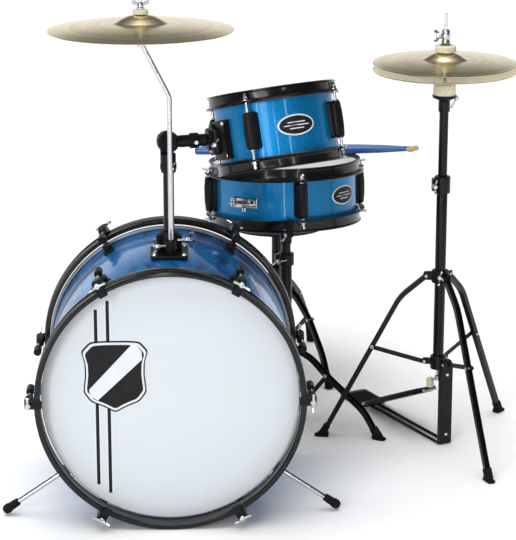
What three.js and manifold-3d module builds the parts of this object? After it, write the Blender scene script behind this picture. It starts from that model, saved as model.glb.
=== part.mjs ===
// Junior acoustic drum kit: bass drum, tom, snare on its stand, crash, hi-hat, throne, pedal and sticks.
// Millimetres, +Z up. The bass drum's front head faces -Y and the drummer sits on the +Y side.
import * as THREE from "three";
import { mergeVertices } from "three/addons/utils/BufferGeometryUtils.js";
import Module from "manifold-3d";

const wasm = await Module();
wasm.setup();

// ---------------------------------------------------------------- driving dimensions
const GAP = 0.3; // clearance between touching pieces
const RUN = 0.35; // radial running clearance of rods and tubes

const BASS = { shellR: 203, wall: 6, depth: 350, collar: 6.4, hoopWall: 9.6, hoopDepth: 27, recess: 25 };
const HEAD = { film: 1.1, ringWidth: 3, ringHeight: 9 };
const HOOP = { wall: 2.4, stand: 7 };
const SPUR = { rodR: 4.2, bossR: 8, y: 75, angle: 39.4, drop: 34.5, footR: 8, footLength: 30, inside: 34 };
const BIG = 40; // facets round the bass drum
const MID = 28; // facets round the small drums and cymbals
const SMALL = 16; // facets round collars, hubs and discs
const TINY = 12; // facets round tubes and rods

// The bass drum lies along Y and rests on a facet of each hoop; the tom and crash stand on its crown.
const bassHoopR = BASS.shellR + BASS.collar + BASS.hoopWall;
const bassAxisZ = bassHoopR * Math.cos(Math.PI / BIG);
const shellEdge = BASS.recess + HEAD.film + GAP;
const holderBase = bassAxisZ + BASS.shellR;
const middleY = BASS.depth / 2 - 5;

const HOLDER = {
  width: 62, thick: 6, front: middleY - 52, back: middleY + 22, collarR: 15, collarHeight: 30, sleeveR: 9, sleeveHeight: 22,
};

const POST = { radius: 8.8, y: middleY, below: 62, top: holderBase + 166.7 };
const KNUCKLE = { sleeveR: 12, sleeveLow: POST.top - 32, height: POST.top + 18, discR: 18, discThick: 12, earThick: 6 };
const ARM = { radius: 10, swing: 13, length: 64 };
const TOM = {
  shellR: 97.6, wall: 5, half: 65, standOff: 20.8, rise: 12, hoopFlange: 9, hoopHeight: 21, lean: -15, roll: -4.6,
};
const TOM_BRACKET = { width: 50, height: 58, baseDepth: 5, noseWidth: 30, noseHeight: 34, bore: 13 };

const CRASH = {
  rodR: 4, y: middleY - 30, x: 3, topX: -41,
  low: holderBase - 21.3, bend: holderBase + 265.7, elbow: holderBase + 349.7, tip: holderBase + 421.7,
};
const CRASH_DISC = { radius: 148, rimZ: CRASH.elbow + 24, bellR: 44, bellRise: 13, bow: 11, thick: 1.4, swing: 5 };

const SNARE = {
  shellR: 127.5, wall: 5, half: 56.5, x: bassHoopR - 10, y: BASS.depth + 181.5, z: 434.5,
  hoopFlange: 12, hoopHeight: 23, lean: -5.4, roll: -1.2,
};
const BASKET = { pivotDrop: SNARE.half + 22, armDrop: SNARE.half + 3.8, armThick: 8, tipRise: 30, tipThick: 6, hubR: 15 };
const THROW_OFF = { length: 50, height: 14, depth: 7, azimuth: -127, z: -6, standOff: 4 };

const LEG = { thick: 6, width: 9, footLength: 22, footWidth: 15, footHeight: 17 };
const CLEVIS = { cheek: 2.6, reach: 6, half: 7.5 };
const BRACE = { thick: 2.6, width: 8 };
const SNARE_STAND = {
  tubeR: 11, wall: 1.85, low: 12, high: 318, clampR: 15, clampHeight: 22, postIn: 110,
  collarR: 17, collarHalf: 10, azimuth: -36.4,
  pivot: [27, 137], knee: [57, 127], rivet: [89, 100], shin: [170, 47], foot: [203, 0], hub: [27, 24],
};
const HAT_TOP = { tubeR: 7.9, bore: 4.4, low: 330, sleeve: 614, cupZ: 632, cupR: 21, feltR: 19.5, feltTop: 654.5 };
const HAT = {
  x: bassHoopR + 256.6, y: BASS.depth + 37.7, tubeR: HAT_TOP.tubeR + 1.6, wall: 1.3, low: 140, high: 470, clampR: 14, clampHeight: 30,
  collarR: 15, collarHalf: 11, azimuth: 169.1,
  pivot: [24, 311], knee: [70, 270], rivet: [118, 176], shin: [186, 43], foot: [208, 0], hub: [24, 153],
};
const lowRim = HAT_TOP.feltTop + 23.5;
const HAT_DISC = { radius: 124, topRim: lowRim + 13, lowRim, bellR: 38, bellRise: 12, bow: 7, thick: 1.4 };
const HAT_ROD = { radius: 2.6, low: 118, top: 778, clutchR: 5, nutR: 8, clutchLow: lowRim + 14, clutchTop: lowRim + 71 };
const HAT_PEDAL = { azimuth: 116, channelWidth: 24, channelThick: 5, channelAt: -15, channelAside: -7, heel: 285, hinge: 214 };
const HAT_BOARD = { toe: 24, toeZ: 96, heelZ: 13, width: 58, thick: 4 };

const THRONE = {
  x: SNARE.x, y: SNARE.y + 299.5, tubeR: 13, wall: 2.65, low: 52, high: 206, clampR: 17, clampHeight: 22, postLow: 95,
  collarR: 19, collarHalf: 10, azimuth: -56.8,
  pivot: [29, 172], knee: [62, 160], rivet: [108, 122], shin: [151, 61], foot: [175, 0],
};
const SEAT = { radius: 112, under: THRONE.high + 85, thick: 52, socketR: 15, socketDepth: 20 };

const STICK = { radius: 7.2, length: 402, neck: 3, offsets: [56, 82], turns: [-10, -11.5], reach: [-162, -150] };
const pedalFront = BASS.depth + 6;
const PEDAL = {
  x: -48, width: 60, plate: 5, front: pedalFront, heel: pedalFront + 244, postY: pedalFront + 28, postHeight: 152, postWall: 8,
};
const PEDAL_BOARD = { hingeY: PEDAL.heel - 12, hingeZ: 14, toeY: PEDAL.postY + 18, toeZ: 62, thick: 4 };
const BEATER = { pivotZ: 140, shaftR: 5, rodR: 3.2, length: 96, back: 36, headR: 16, headLength: 34 };

// ---------------------------------------------------------------- colours
const LOOK = {
  bassWrap: ["#1556c8", 0.25, 0.3],
  wrap: ["#1283c8", 0.3, 0.35],
  black: ["#141416", 0.42, 0.1],
  blackTube: ["#1a1a1b", 0.38, 0.25],
  head: ["#e6e9ec", 0.55, 0],
  chrome: ["#c9ccd0", 0.15, 1],
  brass: ["#b59a55", 0.28, 1],
  felt: ["#e4dcc4", 0.95, 0],
  vinyl: ["#17171a", 0.6, 0],
  stick: ["#1e6fc4", 0.45, 0],
};

const materialOf = (look) => {
  const [color, roughness, metalness] = LOOK[look];
  return new THREE.MeshStandardMaterial({ color, roughness, metalness });
};

// ---------------------------------------------------------------- geometry helpers
const radians = THREE.MathUtils.degToRad;

// Keeps positions only, welds them, drops collapsed triangles and turns every face outward.
function weld(source) {
  const bare = source.index ? source.toNonIndexed() : source.clone();
  bare.deleteAttribute("normal");
  bare.deleteAttribute("uv");
  const merged = mergeVertices(bare, 1e-3);
  const place = merged.getAttribute("position");
  const corner = (i) => new THREE.Vector3().fromBufferAttribute(place, i);
  const kept = [];
  let volume = 0;
  for (let i = 0; i < merged.index.count; i += 3) {
    const [a, b, c] = [0, 1, 2].map((k) => merged.index.getX(i + k));
    if (a === b || b === c || c === a) continue;
    kept.push(a, b, c);
    volume += corner(a).dot(corner(b).cross(corner(c)));
  }
  if (volume < 0) kept.reverse();
  merged.setIndex(kept);
  return merged;
}

function toSolid(geometry) {
  const merged = weld(geometry);
  return new wasm.Manifold(
    new wasm.Mesh({
      numProp: 3,
      vertProperties: new Float32Array(merged.getAttribute("position").array),
      triVerts: new Uint32Array(merged.index.array),
    }),
  );
}

function fromSolid(solid) {
  const mesh = solid.getMesh();
  const geometry = new THREE.BufferGeometry();
  geometry.setAttribute("position", new THREE.BufferAttribute(new Float32Array(mesh.vertProperties), 3));
  geometry.setIndex(new THREE.BufferAttribute(new Uint32Array(mesh.triVerts), 1));
  return geometry;
}

const join = (...pieces) => fromSolid(pieces.map(toSolid).reduce((whole, next) => whole.add(next)));
const cut = (body, ...tools) => fromSolid(tools.map(toSolid).reduce((rest, tool) => rest.subtract(tool), toSolid(body)));

// A profile of [radius, height] points turned about Z; it closes on itself unless both ends are on the axis.
function turned(profile, sides = TINY, phase = 0) {
  const points = profile.map(([r, z]) => new THREE.Vector2(r, z));
  const onAxis = profile[0][0] === 0 && profile.at(-1)[0] === 0;
  if (!onAxis) points.push(points[0].clone());
  return weld(new THREE.LatheGeometry(points, sides, phase).rotateX(Math.PI / 2));
}

const rod = (radius, low, high, sides = TINY) =>
  turned([[0, low], [radius, low], [radius, high], [0, high]], sides);

const ring = (inner, outer, low, high, sides = TINY, phase = 0) =>
  turned([[inner, low], [outer, low], [outer, high], [inner, high]], sides, phase);

const box = (sizeX, sizeY, sizeZ, x, y, z) => new THREE.BoxGeometry(sizeX, sizeY, sizeZ).translate(x, y, z);

// A rod or disc lying along X or along Y.
const alongX = (geometry) => geometry.rotateY(Math.PI / 2);
const alongY = (geometry) => geometry.rotateX(-Math.PI / 2);

// A round bar through a list of [x, y, z] points: straight runs with a ball in each bend.
function bent(points, radius) {
  const stops = points.map((p) => new THREE.Vector3(...p));
  const runs = stops.slice(1).map((stop, i) => {
    const along = stop.clone().sub(stops[i]);
    const turn = new THREE.Quaternion().setFromUnitVectors(new THREE.Vector3(0, 0, 1), along.clone().normalize());
    return rod(radius, 0, along.length()).applyQuaternion(turn).translate(stops[i].x, stops[i].y, stops[i].z);
  });
  const balls = stops.slice(1, -1).map((stop) =>
    new THREE.SphereGeometry(radius * 1.02, 10, 6).translate(stop.x, stop.y, stop.z));
  return join(...runs, ...balls);
}

// A flat bar of even width along [radius, height] points, standing in the XZ plane and centred on Y = side.
function strip(points, width, thick, side = 0) {
  const line = points.map(([r, z]) => new THREE.Vector2(r, z));
  const normals = line.slice(1).map((p, i) => {
    const run = p.clone().sub(line[i]).normalize();
    return new THREE.Vector2(-run.y, run.x);
  });
  const offset = (i, sign) => {
    const before = normals[Math.max(i - 1, 0)];
    const after = normals[Math.min(i, normals.length - 1)];
    const mitre = before.clone().add(after).normalize();
    return line[i].clone().addScaledVector(mitre, (sign * width) / 2 / mitre.dot(after));
  };
  const outline = line.map((_, i) => offset(i, 1)).concat(line.map((_, i) => offset(i, -1)).reverse());
  const bar = new THREE.ExtrudeGeometry(new THREE.Shape(outline), { depth: thick, bevelEnabled: false });
  return weld(bar.rotateX(Math.PI / 2).translate(0, side + thick / 2, 0));
}

const named = (name, geometry, look) => {
  const mesh = new THREE.Mesh(weld(geometry), materialOf(look));
  mesh.name = name;
  return mesh;
};

const groupOf = (...members) => new THREE.Group().add(...members);

// ---------------------------------------------------------------- drums
// One head: a thin film with its hoop ring folded down over the shell's edge. Height counts from the shell's edge.
const headProfile = (shellR, edge, direction, overlap) => {
  const film = edge + direction * GAP;
  const top = film + direction * HEAD.film;
  const skirt = edge - direction * overlap;
  const inner = shellR + GAP;
  const outer = inner + HEAD.ringWidth;
  return [[0, film], [inner, film], [inner, skirt], [outer, skirt], [outer, top], [0, top]];
};

// A pressed hoop with a standing wall, a rolled lip and a flange over the tension rods' ears.
const hoopProfile = (drum, top, direction) => {
  const inner = drum.shellR + HEAD.ringWidth + 3 * GAP;
  const wall = inner + HOOP.wall;
  const lip = inner + drum.hoopFlange * 0.5;
  const outer = inner + drum.hoopFlange;
  const end = drum.hoopHeight;
  const z = (drop) => top - direction * drop;
  return [[inner, z(0)], [lip, z(0)], [lip, z(2.2)], [wall, z(3)], [wall, z(end - 4)], [outer, z(end - 2)],
    [outer, z(end)], [inner, z(end)]];
};

function smallDrum(name, drum, extras = {}) {
  const edge = drum.half - HOOP.stand;
  const shell = ring(drum.shellR - drum.wall, drum.shellR, -edge, edge, MID);
  const shellBody = extras.shellHole ? cut(shell, extras.shellHole) : shell;
  const parts = [named(`${name}_shell`, shellBody, "wrap")];
  for (const [side, direction] of [["top", 1], ["bottom", -1]]) {
    const film = headProfile(drum.shellR, direction * edge, direction, HEAD.ringHeight);
    const hoop = hoopProfile(drum, direction * drum.half, direction);
    parts.push(named(`${name}_${side}_head`, turned(film, MID), "head"));
    parts.push(named(`${name}_${side}_hoop`, turned(hoop, MID), "black"));
  }
  return parts;
}

function bassHoop() {
  const inner = bassHoopR - BASS.hoopWall;
  const groove = bassHoopR - 3.5;
  const bead = BASS.hoopDepth * 0.28;
  const outer = bassHoopR;
  const far = BASS.hoopDepth;
  const face = [[inner, 0], [outer, 0], [outer, bead], [groove, bead + 2], [groove, far - bead - 2],
    [outer, far - bead], [outer, far], [inner, far]];
  return turned(face, BIG, Math.PI / BIG);
}

// Facing the drummer, a piece made for the front is turned end for end.
const frontward = (geometry) => geometry.rotateX(-Math.PI / 2);
const backward = (geometry) => frontward(geometry).rotateZ(Math.PI).translate(0, BASS.depth, 0);

function bassHead() {
  const inner = BASS.shellR + GAP;
  const outer = bassHoopR - BASS.hoopWall - 2 * GAP;
  const film = BASS.recess;
  const skirt = BASS.hoopDepth + 12;
  const collar = [[0, film], [outer, film], [outer, skirt], [inner, skirt], [inner, film + HEAD.film],
    [0, film + HEAD.film]];
  return turned(collar, BIG, Math.PI / BIG);
}

const spurDirection = (side) =>
  new THREE.Vector3(side * Math.sin(radians(90 - SPUR.drop)), 0, -Math.sin(radians(SPUR.drop)));
const spurRoot = (side) =>
  new THREE.Vector3(
    side * BASS.shellR * Math.cos(radians(SPUR.angle)), SPUR.y, -BASS.shellR * Math.sin(radians(SPUR.angle)),
  );
const spurReach = () => {
  const height = bassAxisZ + spurRoot(1).z;
  const drop = Math.sin(radians(SPUR.drop));
  return (height - SPUR.footR * Math.cos(radians(SPUR.drop))) / drop;
};

// A rod or bore that runs from inside the shell out along the spur's line.
function alongSpur(geometry, side) {
  const turn = new THREE.Quaternion().setFromUnitVectors(new THREE.Vector3(0, 0, 1), spurDirection(side));
  const place = spurRoot(side);
  return geometry.applyQuaternion(turn).translate(place.x, place.y, place.z);
}

function bassDrum() {
  const tubeEnds = [shellEdge, BASS.depth - shellEdge];
  const shellTube = ring(BASS.shellR - BASS.wall, BASS.shellR, ...tubeEnds, BIG, Math.PI / BIG);
  const postHole = rod(POST.radius + 2, BASS.shellR - 40, BASS.shellR + 40).translate(0, POST.y, 0);
  const rodHole = rod(CRASH.rodR + 2, BASS.shellR - 40, BASS.shellR + 40).translate(CRASH.x, CRASH.y, 0);
  const bosses = [-1, 1].map((side) => alongSpur(rod(SPUR.bossR, -10, 26), side));
  const bores = [-1, 1].map((side) => alongSpur(rod(SPUR.rodR + RUN, -60, 60), side));
  const shell = cut(join(frontward(shellTube), ...bosses), ...bores, postHole, rodHole);

  const middle = (HOLDER.front + HOLDER.back) / 2;
  const plate = box(HOLDER.width, HOLDER.back - HOLDER.front, HOLDER.thick + 6, 0, middle, HOLDER.thick / 2 - 3);
  const collar = rod(HOLDER.collarR, 0, HOLDER.collarHeight + HOLDER.thick).translate(0, POST.y, 0);
  const sleeve = rod(HOLDER.sleeveR, 0, HOLDER.sleeveHeight + HOLDER.thick).translate(CRASH.x, CRASH.y, 0);
  const shellLine = [[0, 0], [BASS.shellR + GAP, 0], [BASS.shellR + GAP, BASS.depth], [0, BASS.depth]];
  const saddle = frontward(turned(shellLine, BIG, Math.PI / BIG)).translate(0, 0, -BASS.shellR);
  const postBore = rod(POST.radius + RUN, -60, 80).translate(0, POST.y, 0);
  const rodBore = rod(CRASH.rodR + RUN, -60, 80).translate(CRASH.x, CRASH.y, 0);
  const holder = cut(join(plate, collar, sleeve), saddle, postBore, rodBore);

  const parts = groupOf(
    named("bass_shell", shell, "bassWrap"),
    named("bass_front_hoop", frontward(bassHoop()), "black"),
    named("bass_back_hoop", backward(bassHoop()), "black"),
    named("bass_front_head", frontward(bassHead()), "head"),
    named("bass_back_head", backward(bassHead()), "head"),
    ...[-1, 1].map((side) => spur(side)),
  );
  parts.position.z = bassAxisZ;
  const top = named("tom_crash_holder", holder, "black");
  top.position.z = holderBase;
  return groupOf(parts, top);
}

function spur(side) {
  const reach = spurReach();
  const shaft = rod(SPUR.rodR, -SPUR.inside, reach);
  const foot = rod(SPUR.footR, reach - SPUR.footLength, reach, TINY);
  return named(side < 0 ? "spur_left" : "spur_right", alongSpur(join(shaft, foot), side), "chrome");
}

// ---------------------------------------------------------------- tom and its holder
function tomPost() {
  const bottom = holderBase - POST.below;
  return named("tom_post", rod(POST.radius, bottom, POST.top - 4).translate(0, POST.y, 0), "blackTube");
}

function tomKnuckle() {
  const { sleeveR, sleeveLow, height, discR, discThick, earThick } = KNUCKLE;
  const sleeveTop = height - discR - 1;
  const bore = rod(POST.radius + RUN, sleeveLow - 5, POST.top - 3.5);
  const back = discThick / 2 + GAP;
  const ear = alongY(rod(discR - 1, back, back + earThick, SMALL)).translate(0, 0, height);
  const stem = box(2 * sleeveR - 2, earThick, height - sleeveLow - 8, 0, back + earThick / 2, (height + sleeveLow) / 2);
  const body = join(rod(sleeveR, sleeveLow, sleeveTop), ear, stem);
  return named("tom_knuckle", cut(body, bore), "black");
}

function tomArm() {
  const disc = alongY(rod(KNUCKLE.discR, -KNUCKLE.discThick / 2, KNUCKLE.discThick / 2, SMALL));
  const neck = alongX(rod(KNUCKLE.discThick / 2 - 0.5, 4, ARM.length / 2));
  const bar = alongX(rod(ARM.radius, KNUCKLE.discR + 1, ARM.length));
  const pin = alongX(rod(ARM.radius - 3, ARM.length - 2, ARM.length + TOM_BRACKET.bore - 1));
  return named("tom_arm", join(disc, neck, bar, pin), "black");
}

const tomTurn = new THREE.Euler(radians(TOM.lean), radians(TOM.roll), 0);

// The bracket is shaped in the arm's frame, then cut back to the shell that it is screwed to.
function tomBracket() {
  const nose = ARM.length + 0.6;
  const { baseDepth, width, height, noseWidth, noseHeight } = TOM_BRACKET;
  const depth = 30;
  const block = box(depth, noseWidth, noseHeight, nose + depth / 2, 0, 0);
  const base = box(baseDepth * 2, width, height, nose + 20, 0, 0);
  const bore = alongX(rod(ARM.radius - 3 + RUN, nose - 5, nose + TOM_BRACKET.bore));
  const drum = rod(TOM.shellR + GAP, -TOM.half, TOM.half, MID).applyMatrix4(tomPlace());
  return cut(join(block, base), bore, drum);
}

const tomPlace = () =>
  new THREE.Matrix4().makeRotationFromEuler(tomTurn).setPosition(ARM.length + TOM.standOff + TOM.shellR, 0, TOM.rise);

function tomAssembly() {
  const drum = groupOf(...smallDrum("tom", TOM));
  drum.applyMatrix4(tomPlace());
  const arm = groupOf(tomArm(), named("tom_bracket", tomBracket(), "black"), drum);
  arm.position.z = KNUCKLE.height;
  const swing = groupOf(tomKnuckle(), arm);
  swing.position.y = POST.y;
  swing.rotation.z = radians(ARM.swing);
  return groupOf(tomPost(), swing);
}

// ---------------------------------------------------------------- cymbals
// A bowed disc with a bell; the profile runs out along the top and back along the underside.
function cymbal({ radius, bellR, bellRise, bow, thick, hole }) {
  const over = [];
  const steps = 3;
  for (let i = 0; i <= steps; i += 1) {
    const angle = (i / steps) * (Math.PI / 2);
    const r = hole + (bellR * 0.8 - hole) * Math.sin(angle);
    over.push([r, bow + bellRise * Math.cos(angle) * 0.9 + bellRise * 0.1]);
  }
  for (let i = 0; i <= 2; i += 1) {
    const t = i / 2;
    over.push([bellR + (radius - bellR) * t, bow * (1 - t ** 1.6)]);
  }
  const under = over.map(([r, z]) => [r, z - thick]).reverse();
  return turned([...over, ...under], MID);
}

function crashAssembly() {
  const { x, y, low, bend, elbow, tip, topX, rodR } = CRASH;
  const stem = bent([[x, y, low], [x, y, bend], [topX + 2, y, elbow]], rodR);
  const spindle = rod(3, elbow - 3, tip).translate(topX, y, 0);
  const elbowBall = new THREE.SphereGeometry(rodR + 1.2, 12, 8).translate(topX + 1, y, elbow);
  const seat = rod(6, elbow, elbow + 6).translate(topX, y, 0);

  const bellTop = CRASH_DISC.rimZ + CRASH_DISC.bow + CRASH_DISC.bellRise;
  const slack = (bellTop - elbow) * Math.tan(radians(CRASH_DISC.swing)) * 0.75;
  const bore = 3 + slack;
  const barrel = bore + 1.2;
  const underBell = bellTop - CRASH_DISC.thick - 4 * GAP;
  const feltProfile = [[bore, elbow + 10], [13, elbow + 10], [12, underBell], [barrel, underBell],
    [barrel, bellTop + GAP], [12, bellTop + GAP], [12, bellTop + 9], [bore, bellTop + 9]];
  const sleeve = named("crash_sleeve", turned(feltProfile, SMALL).translate(topX, y, 0), "felt");
  const disc = cymbal({ ...CRASH_DISC, hole: barrel + GAP });
  const plate = named("crash_cymbal", disc, "brass");
  plate.position.set(topX, y, CRASH_DISC.rimZ);
  return groupOf(named("crash_rod", join(stem, spindle, elbowBall, seat), "chrome"), sleeve, plate);
}

// ---------------------------------------------------------------- folding tripods
const tripodTurns = (azimuth) => [0, 120, 240].map((step) => radians(azimuth + step));
const NAMES = ["a", "b", "c"];

function clevis([r, z]) {
  const cheek = (side) => {
    const reach = r + CLEVIS.reach;
    const at = side * (LEG.thick / 2 + 0.4 + CLEVIS.cheek / 2);
    return box(reach - 4, CLEVIS.cheek, 2 * CLEVIS.half, 4 + (reach - 4) / 2, at, z);
  };
  return [cheek(-1), cheek(1)];
}

const ear = ([r, z]) => box(r + 2, LEG.thick - 0.6, 12, (r + 6) / 2 + 2, 0, z);

function leg(spec) {
  const bar = strip([spec.pivot, spec.knee, spec.rivet, spec.shin, spec.foot], LEG.width, LEG.thick);
  const [r] = spec.foot;
  const foot = box(LEG.footLength, LEG.footWidth, LEG.footHeight, r + 1, 0, LEG.footHeight / 2);
  const floor = box(80, 40, 40, r, 0, -20);
  return cut(join(bar, foot), floor);
}

const brace = (spec) =>
  strip([spec.hub, spec.rivet], BRACE.width, BRACE.thick, LEG.thick / 2 + GAP + BRACE.thick / 2);

const around = (geometries, angle) => geometries.map((g) => g.clone().rotateZ(angle));

function tripodLegs(name, spec) {
  return tripodTurns(spec.azimuth).map((angle, i) =>
    named(`${name}_leg_${NAMES[i]}`, leg(spec).rotateZ(angle), "black"));
}

function tripodBraces(name, spec) {
  return tripodTurns(spec.azimuth).map((angle, i) =>
    named(`${name}_brace_${NAMES[i]}`, brace(spec).rotateZ(angle), "black"));
}

function collarSolid(spec, bore) {
  const z = spec.pivot[1];
  const body = rod(spec.collarR, z - spec.collarHalf, z + spec.collarHalf, SMALL);
  const cheeks = tripodTurns(spec.azimuth).flatMap((angle) => around(clevis(spec.pivot), angle));
  return cut(join(body, ...cheeks), rod(bore, z - 60, z + 60, SMALL));
}

const hubEars = (spec) => tripodTurns(spec.azimuth).flatMap((angle) => around([ear(spec.hub)], angle));

// ---------------------------------------------------------------- snare drum, basket and stand
const snareTurn = new THREE.Euler(radians(SNARE.lean), radians(SNARE.roll), 0);
const snareUp = new THREE.Vector3(0, 0, 1).applyEuler(snareTurn);
const basketPivot = new THREE.Vector3(SNARE.x, SNARE.y, SNARE.z).addScaledVector(snareUp, -BASKET.pivotDrop);

function basket() {
  const hoopR = SNARE.shellR + HEAD.ringWidth + 3 * GAP + SNARE.hoopFlange;
  const reach = hoopR + BASKET.tipThick / 2 + 1;
  const low = -BASKET.armDrop;
  const outline = [[0, low], [reach, low], [reach, low + BASKET.tipRise]];
  const arms = tripodTurns(30).map((angle) => strip(outline, BASKET.tipThick, BASKET.armThick).rotateZ(angle));
  const hub = rod(BASKET.hubR, low - 5, low + 4, SMALL);
  const disc = alongY(rod(11, -4.4, 4.4, SMALL)).translate(0, 0, -BASKET.pivotDrop);
  const neck = box(12, 8.8, BASKET.pivotDrop - BASKET.armDrop, 0, 0, -(BASKET.pivotDrop + BASKET.armDrop) / 2);
  return named("snare_basket", join(hub, ...arms, disc, neck), "black");
}

function throwOff() {
  const { length, height, depth, azimuth, z, standOff } = THROW_OFF;
  const lever = box(depth, length, height, SNARE.shellR + standOff + depth / 2, 0, z);
  return named("snare_throw_off", lever.rotateZ(radians(azimuth)), "chrome");
}

function drumsticks() {
  const { radius, length, neck, offsets, turns, reach } = STICK;
  const profile = [[0, 0], [radius - 1.5, 0], [radius, 4], [radius, length * 0.72], [neck, length - 13],
    [radius - 2.4, length - 8], [radius - 2.6, length - 3], [2, length], [0, length]];
  return offsets.map((offset, i) => {
    const stick = alongX(turned(profile, TINY));
    stick.translate(reach[i], 0, 0).rotateZ(radians(turns[i]));
    stick.translate(0, offset, SNARE.half + radius + GAP);
    return named(`drumstick_${NAMES[i]}`, stick, "stick");
  });
}

function snareStand() {
  const spec = SNARE_STAND;
  const bore = spec.tubeR - spec.wall;
  const postR = bore - RUN;
  const tube = rod(spec.tubeR, spec.low, spec.high, SMALL);
  const clamp = rod(spec.clampR, spec.high - spec.clampHeight, spec.high, SMALL);
  const hub = rod(spec.collarR - 1, spec.hub[1] - 9, spec.hub[1] + 9, SMALL);
  const hollow = rod(bore, spec.low - 5, spec.high + 5, SMALL);
  const column = cut(join(tube, clamp, hub, ...hubEars(spec)), hollow);

  const pivotZ = basketPivot.z;
  const cheekAt = 5 + 0.4 + 2.5;
  const cheeks = [-1, 1].map((side) => box(20, 5, 24, 0, side * cheekAt, pivotZ - 7));
  const bridge = box(20, 2 * cheekAt + 5, 5, 0, 0, pivotZ - 17);
  const shank = rod(postR, spec.high - spec.postIn, pivotZ - 16, SMALL);
  const post = named("snare_post", join(shank, bridge, ...cheeks), "blackTube");

  const stand = groupOf(
    named("snare_stand_tube", column, "blackTube"),
    post,
    named("snare_stand_collar", collarSolid(spec, spec.tubeR + RUN), "black"),
    ...tripodLegs("snare_stand", spec),
    ...tripodBraces("snare_stand", spec),
  );
  stand.position.set(basketPivot.x, basketPivot.y, 0);
  return stand;
}

function snareAssembly() {
  const drum = groupOf(...smallDrum("snare", SNARE), throwOff(), basket(), ...drumsticks());
  drum.position.set(SNARE.x, SNARE.y, SNARE.z);
  drum.rotation.copy(snareTurn);
  return groupOf(drum, snareStand());
}

// ---------------------------------------------------------------- hi-hat
function hatColumn() {
  const { tubeR, wall, low, high, clampR, clampHeight } = HAT;
  const pedal = HAT_PEDAL;
  const tube = rod(tubeR, low, high, SMALL);
  const clamp = rod(clampR, high - 8, high - 8 + clampHeight, SMALL);
  const hub = rod(HAT.collarR - 1, HAT.hub[1] - 13, HAT.hub[1] + 11, SMALL);
  const { channelAt, channelAside, channelThick, channelWidth } = pedal;
  const hubZ = HAT.hub[1];
  const channel = box(channelThick, channelWidth, hubZ, channelAt, channelAside, hubZ / 2);
  const tie = box(10, channelWidth, 16, channelAt + 5, channelAside, hubZ - 4);
  const barLength = pedal.heel - pedal.channelAt;
  const bar = box(barLength, 14, 4, pedal.channelAt + barLength / 2, 0, 2);
  const heelLength = pedal.heel - pedal.hinge;
  const heel = box(heelLength, HAT_BOARD.width, 7, pedal.hinge + heelLength / 2 + 8, 0, 3.5);
  const frame = join(channel, tie, bar, heel).rotateZ(radians(pedal.azimuth));
  const hollow = rod(tubeR - wall, low - 30, high + 40, SMALL);
  return cut(join(tube, clamp, hub, ...hubEars(HAT), frame), hollow);
}

function hatUpperTube() {
  const { tubeR, bore, low, sleeve, cupZ, cupR, feltR, feltTop } = HAT_TOP;
  const profile = [[bore, low], [tubeR, low], [tubeR, sleeve - 8], [10, sleeve - 8], [10, cupZ - 6], [cupR, cupZ],
    [cupR, cupZ + 4], [feltR, cupZ + 4], [feltR, feltTop], [bore, feltTop]];
  return named("hat_upper_tube", turned(profile, SMALL), "blackTube");
}

function hatRod() {
  const { radius, low, top, clutchR, nutR, clutchLow, clutchTop } = HAT_ROD;
  const bell = HAT_DISC.topRim + HAT_DISC.bow + HAT_DISC.bellRise;
  const under = bell - HAT_DISC.thick - 4 * GAP;
  const over = bell + 2 * GAP;
  const profile = [[0, low], [radius, low], [radius, clutchLow], [nutR, clutchLow], [nutR, clutchLow + 5],
    [12, clutchLow + 5], [12, under], [clutchR, under], [clutchR, over], [HAT_TOP.feltR - 1, over],
    [HAT_TOP.feltR - 1, over + 11], [nutR, over + 11], [nutR, clutchTop], [radius, clutchTop], [radius, top], [0, top]];
  return named("hat_pull_rod", turned(profile, SMALL), "chrome");
}

function hatCymbal(name, rim, flip) {
  const disc = cymbal({ ...HAT_DISC, hole: HAT_ROD.clutchR + 2 * GAP });
  if (flip) disc.rotateX(Math.PI);
  const mesh = named(name, disc, "brass");
  mesh.position.z = rim;
  return mesh;
}

function hatFootboard() {
  const { toe, toeZ, heelZ, width, thick } = HAT_BOARD;
  const board = strip([[HAT_PEDAL.hinge - 3, heelZ], [toe, toeZ]], thick, width);
  return named("hat_footboard", board.rotateZ(radians(HAT_PEDAL.azimuth)), "black");
}

function hatAssembly() {
  const hat = groupOf(
    named("hat_base_tube", hatColumn(), "blackTube"),
    hatUpperTube(),
    hatRod(),
    hatCymbal("hat_bottom_cymbal", HAT_DISC.lowRim, true),
    hatCymbal("hat_top_cymbal", HAT_DISC.topRim, false),
    hatFootboard(),
    named("hat_collar", collarSolid(HAT, HAT.tubeR + RUN), "black"),
    ...tripodLegs("hat", HAT),
    ...tripodBraces("hat", HAT),
  );
  hat.position.set(HAT.x, HAT.y, 0);
  return hat;
}

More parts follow.
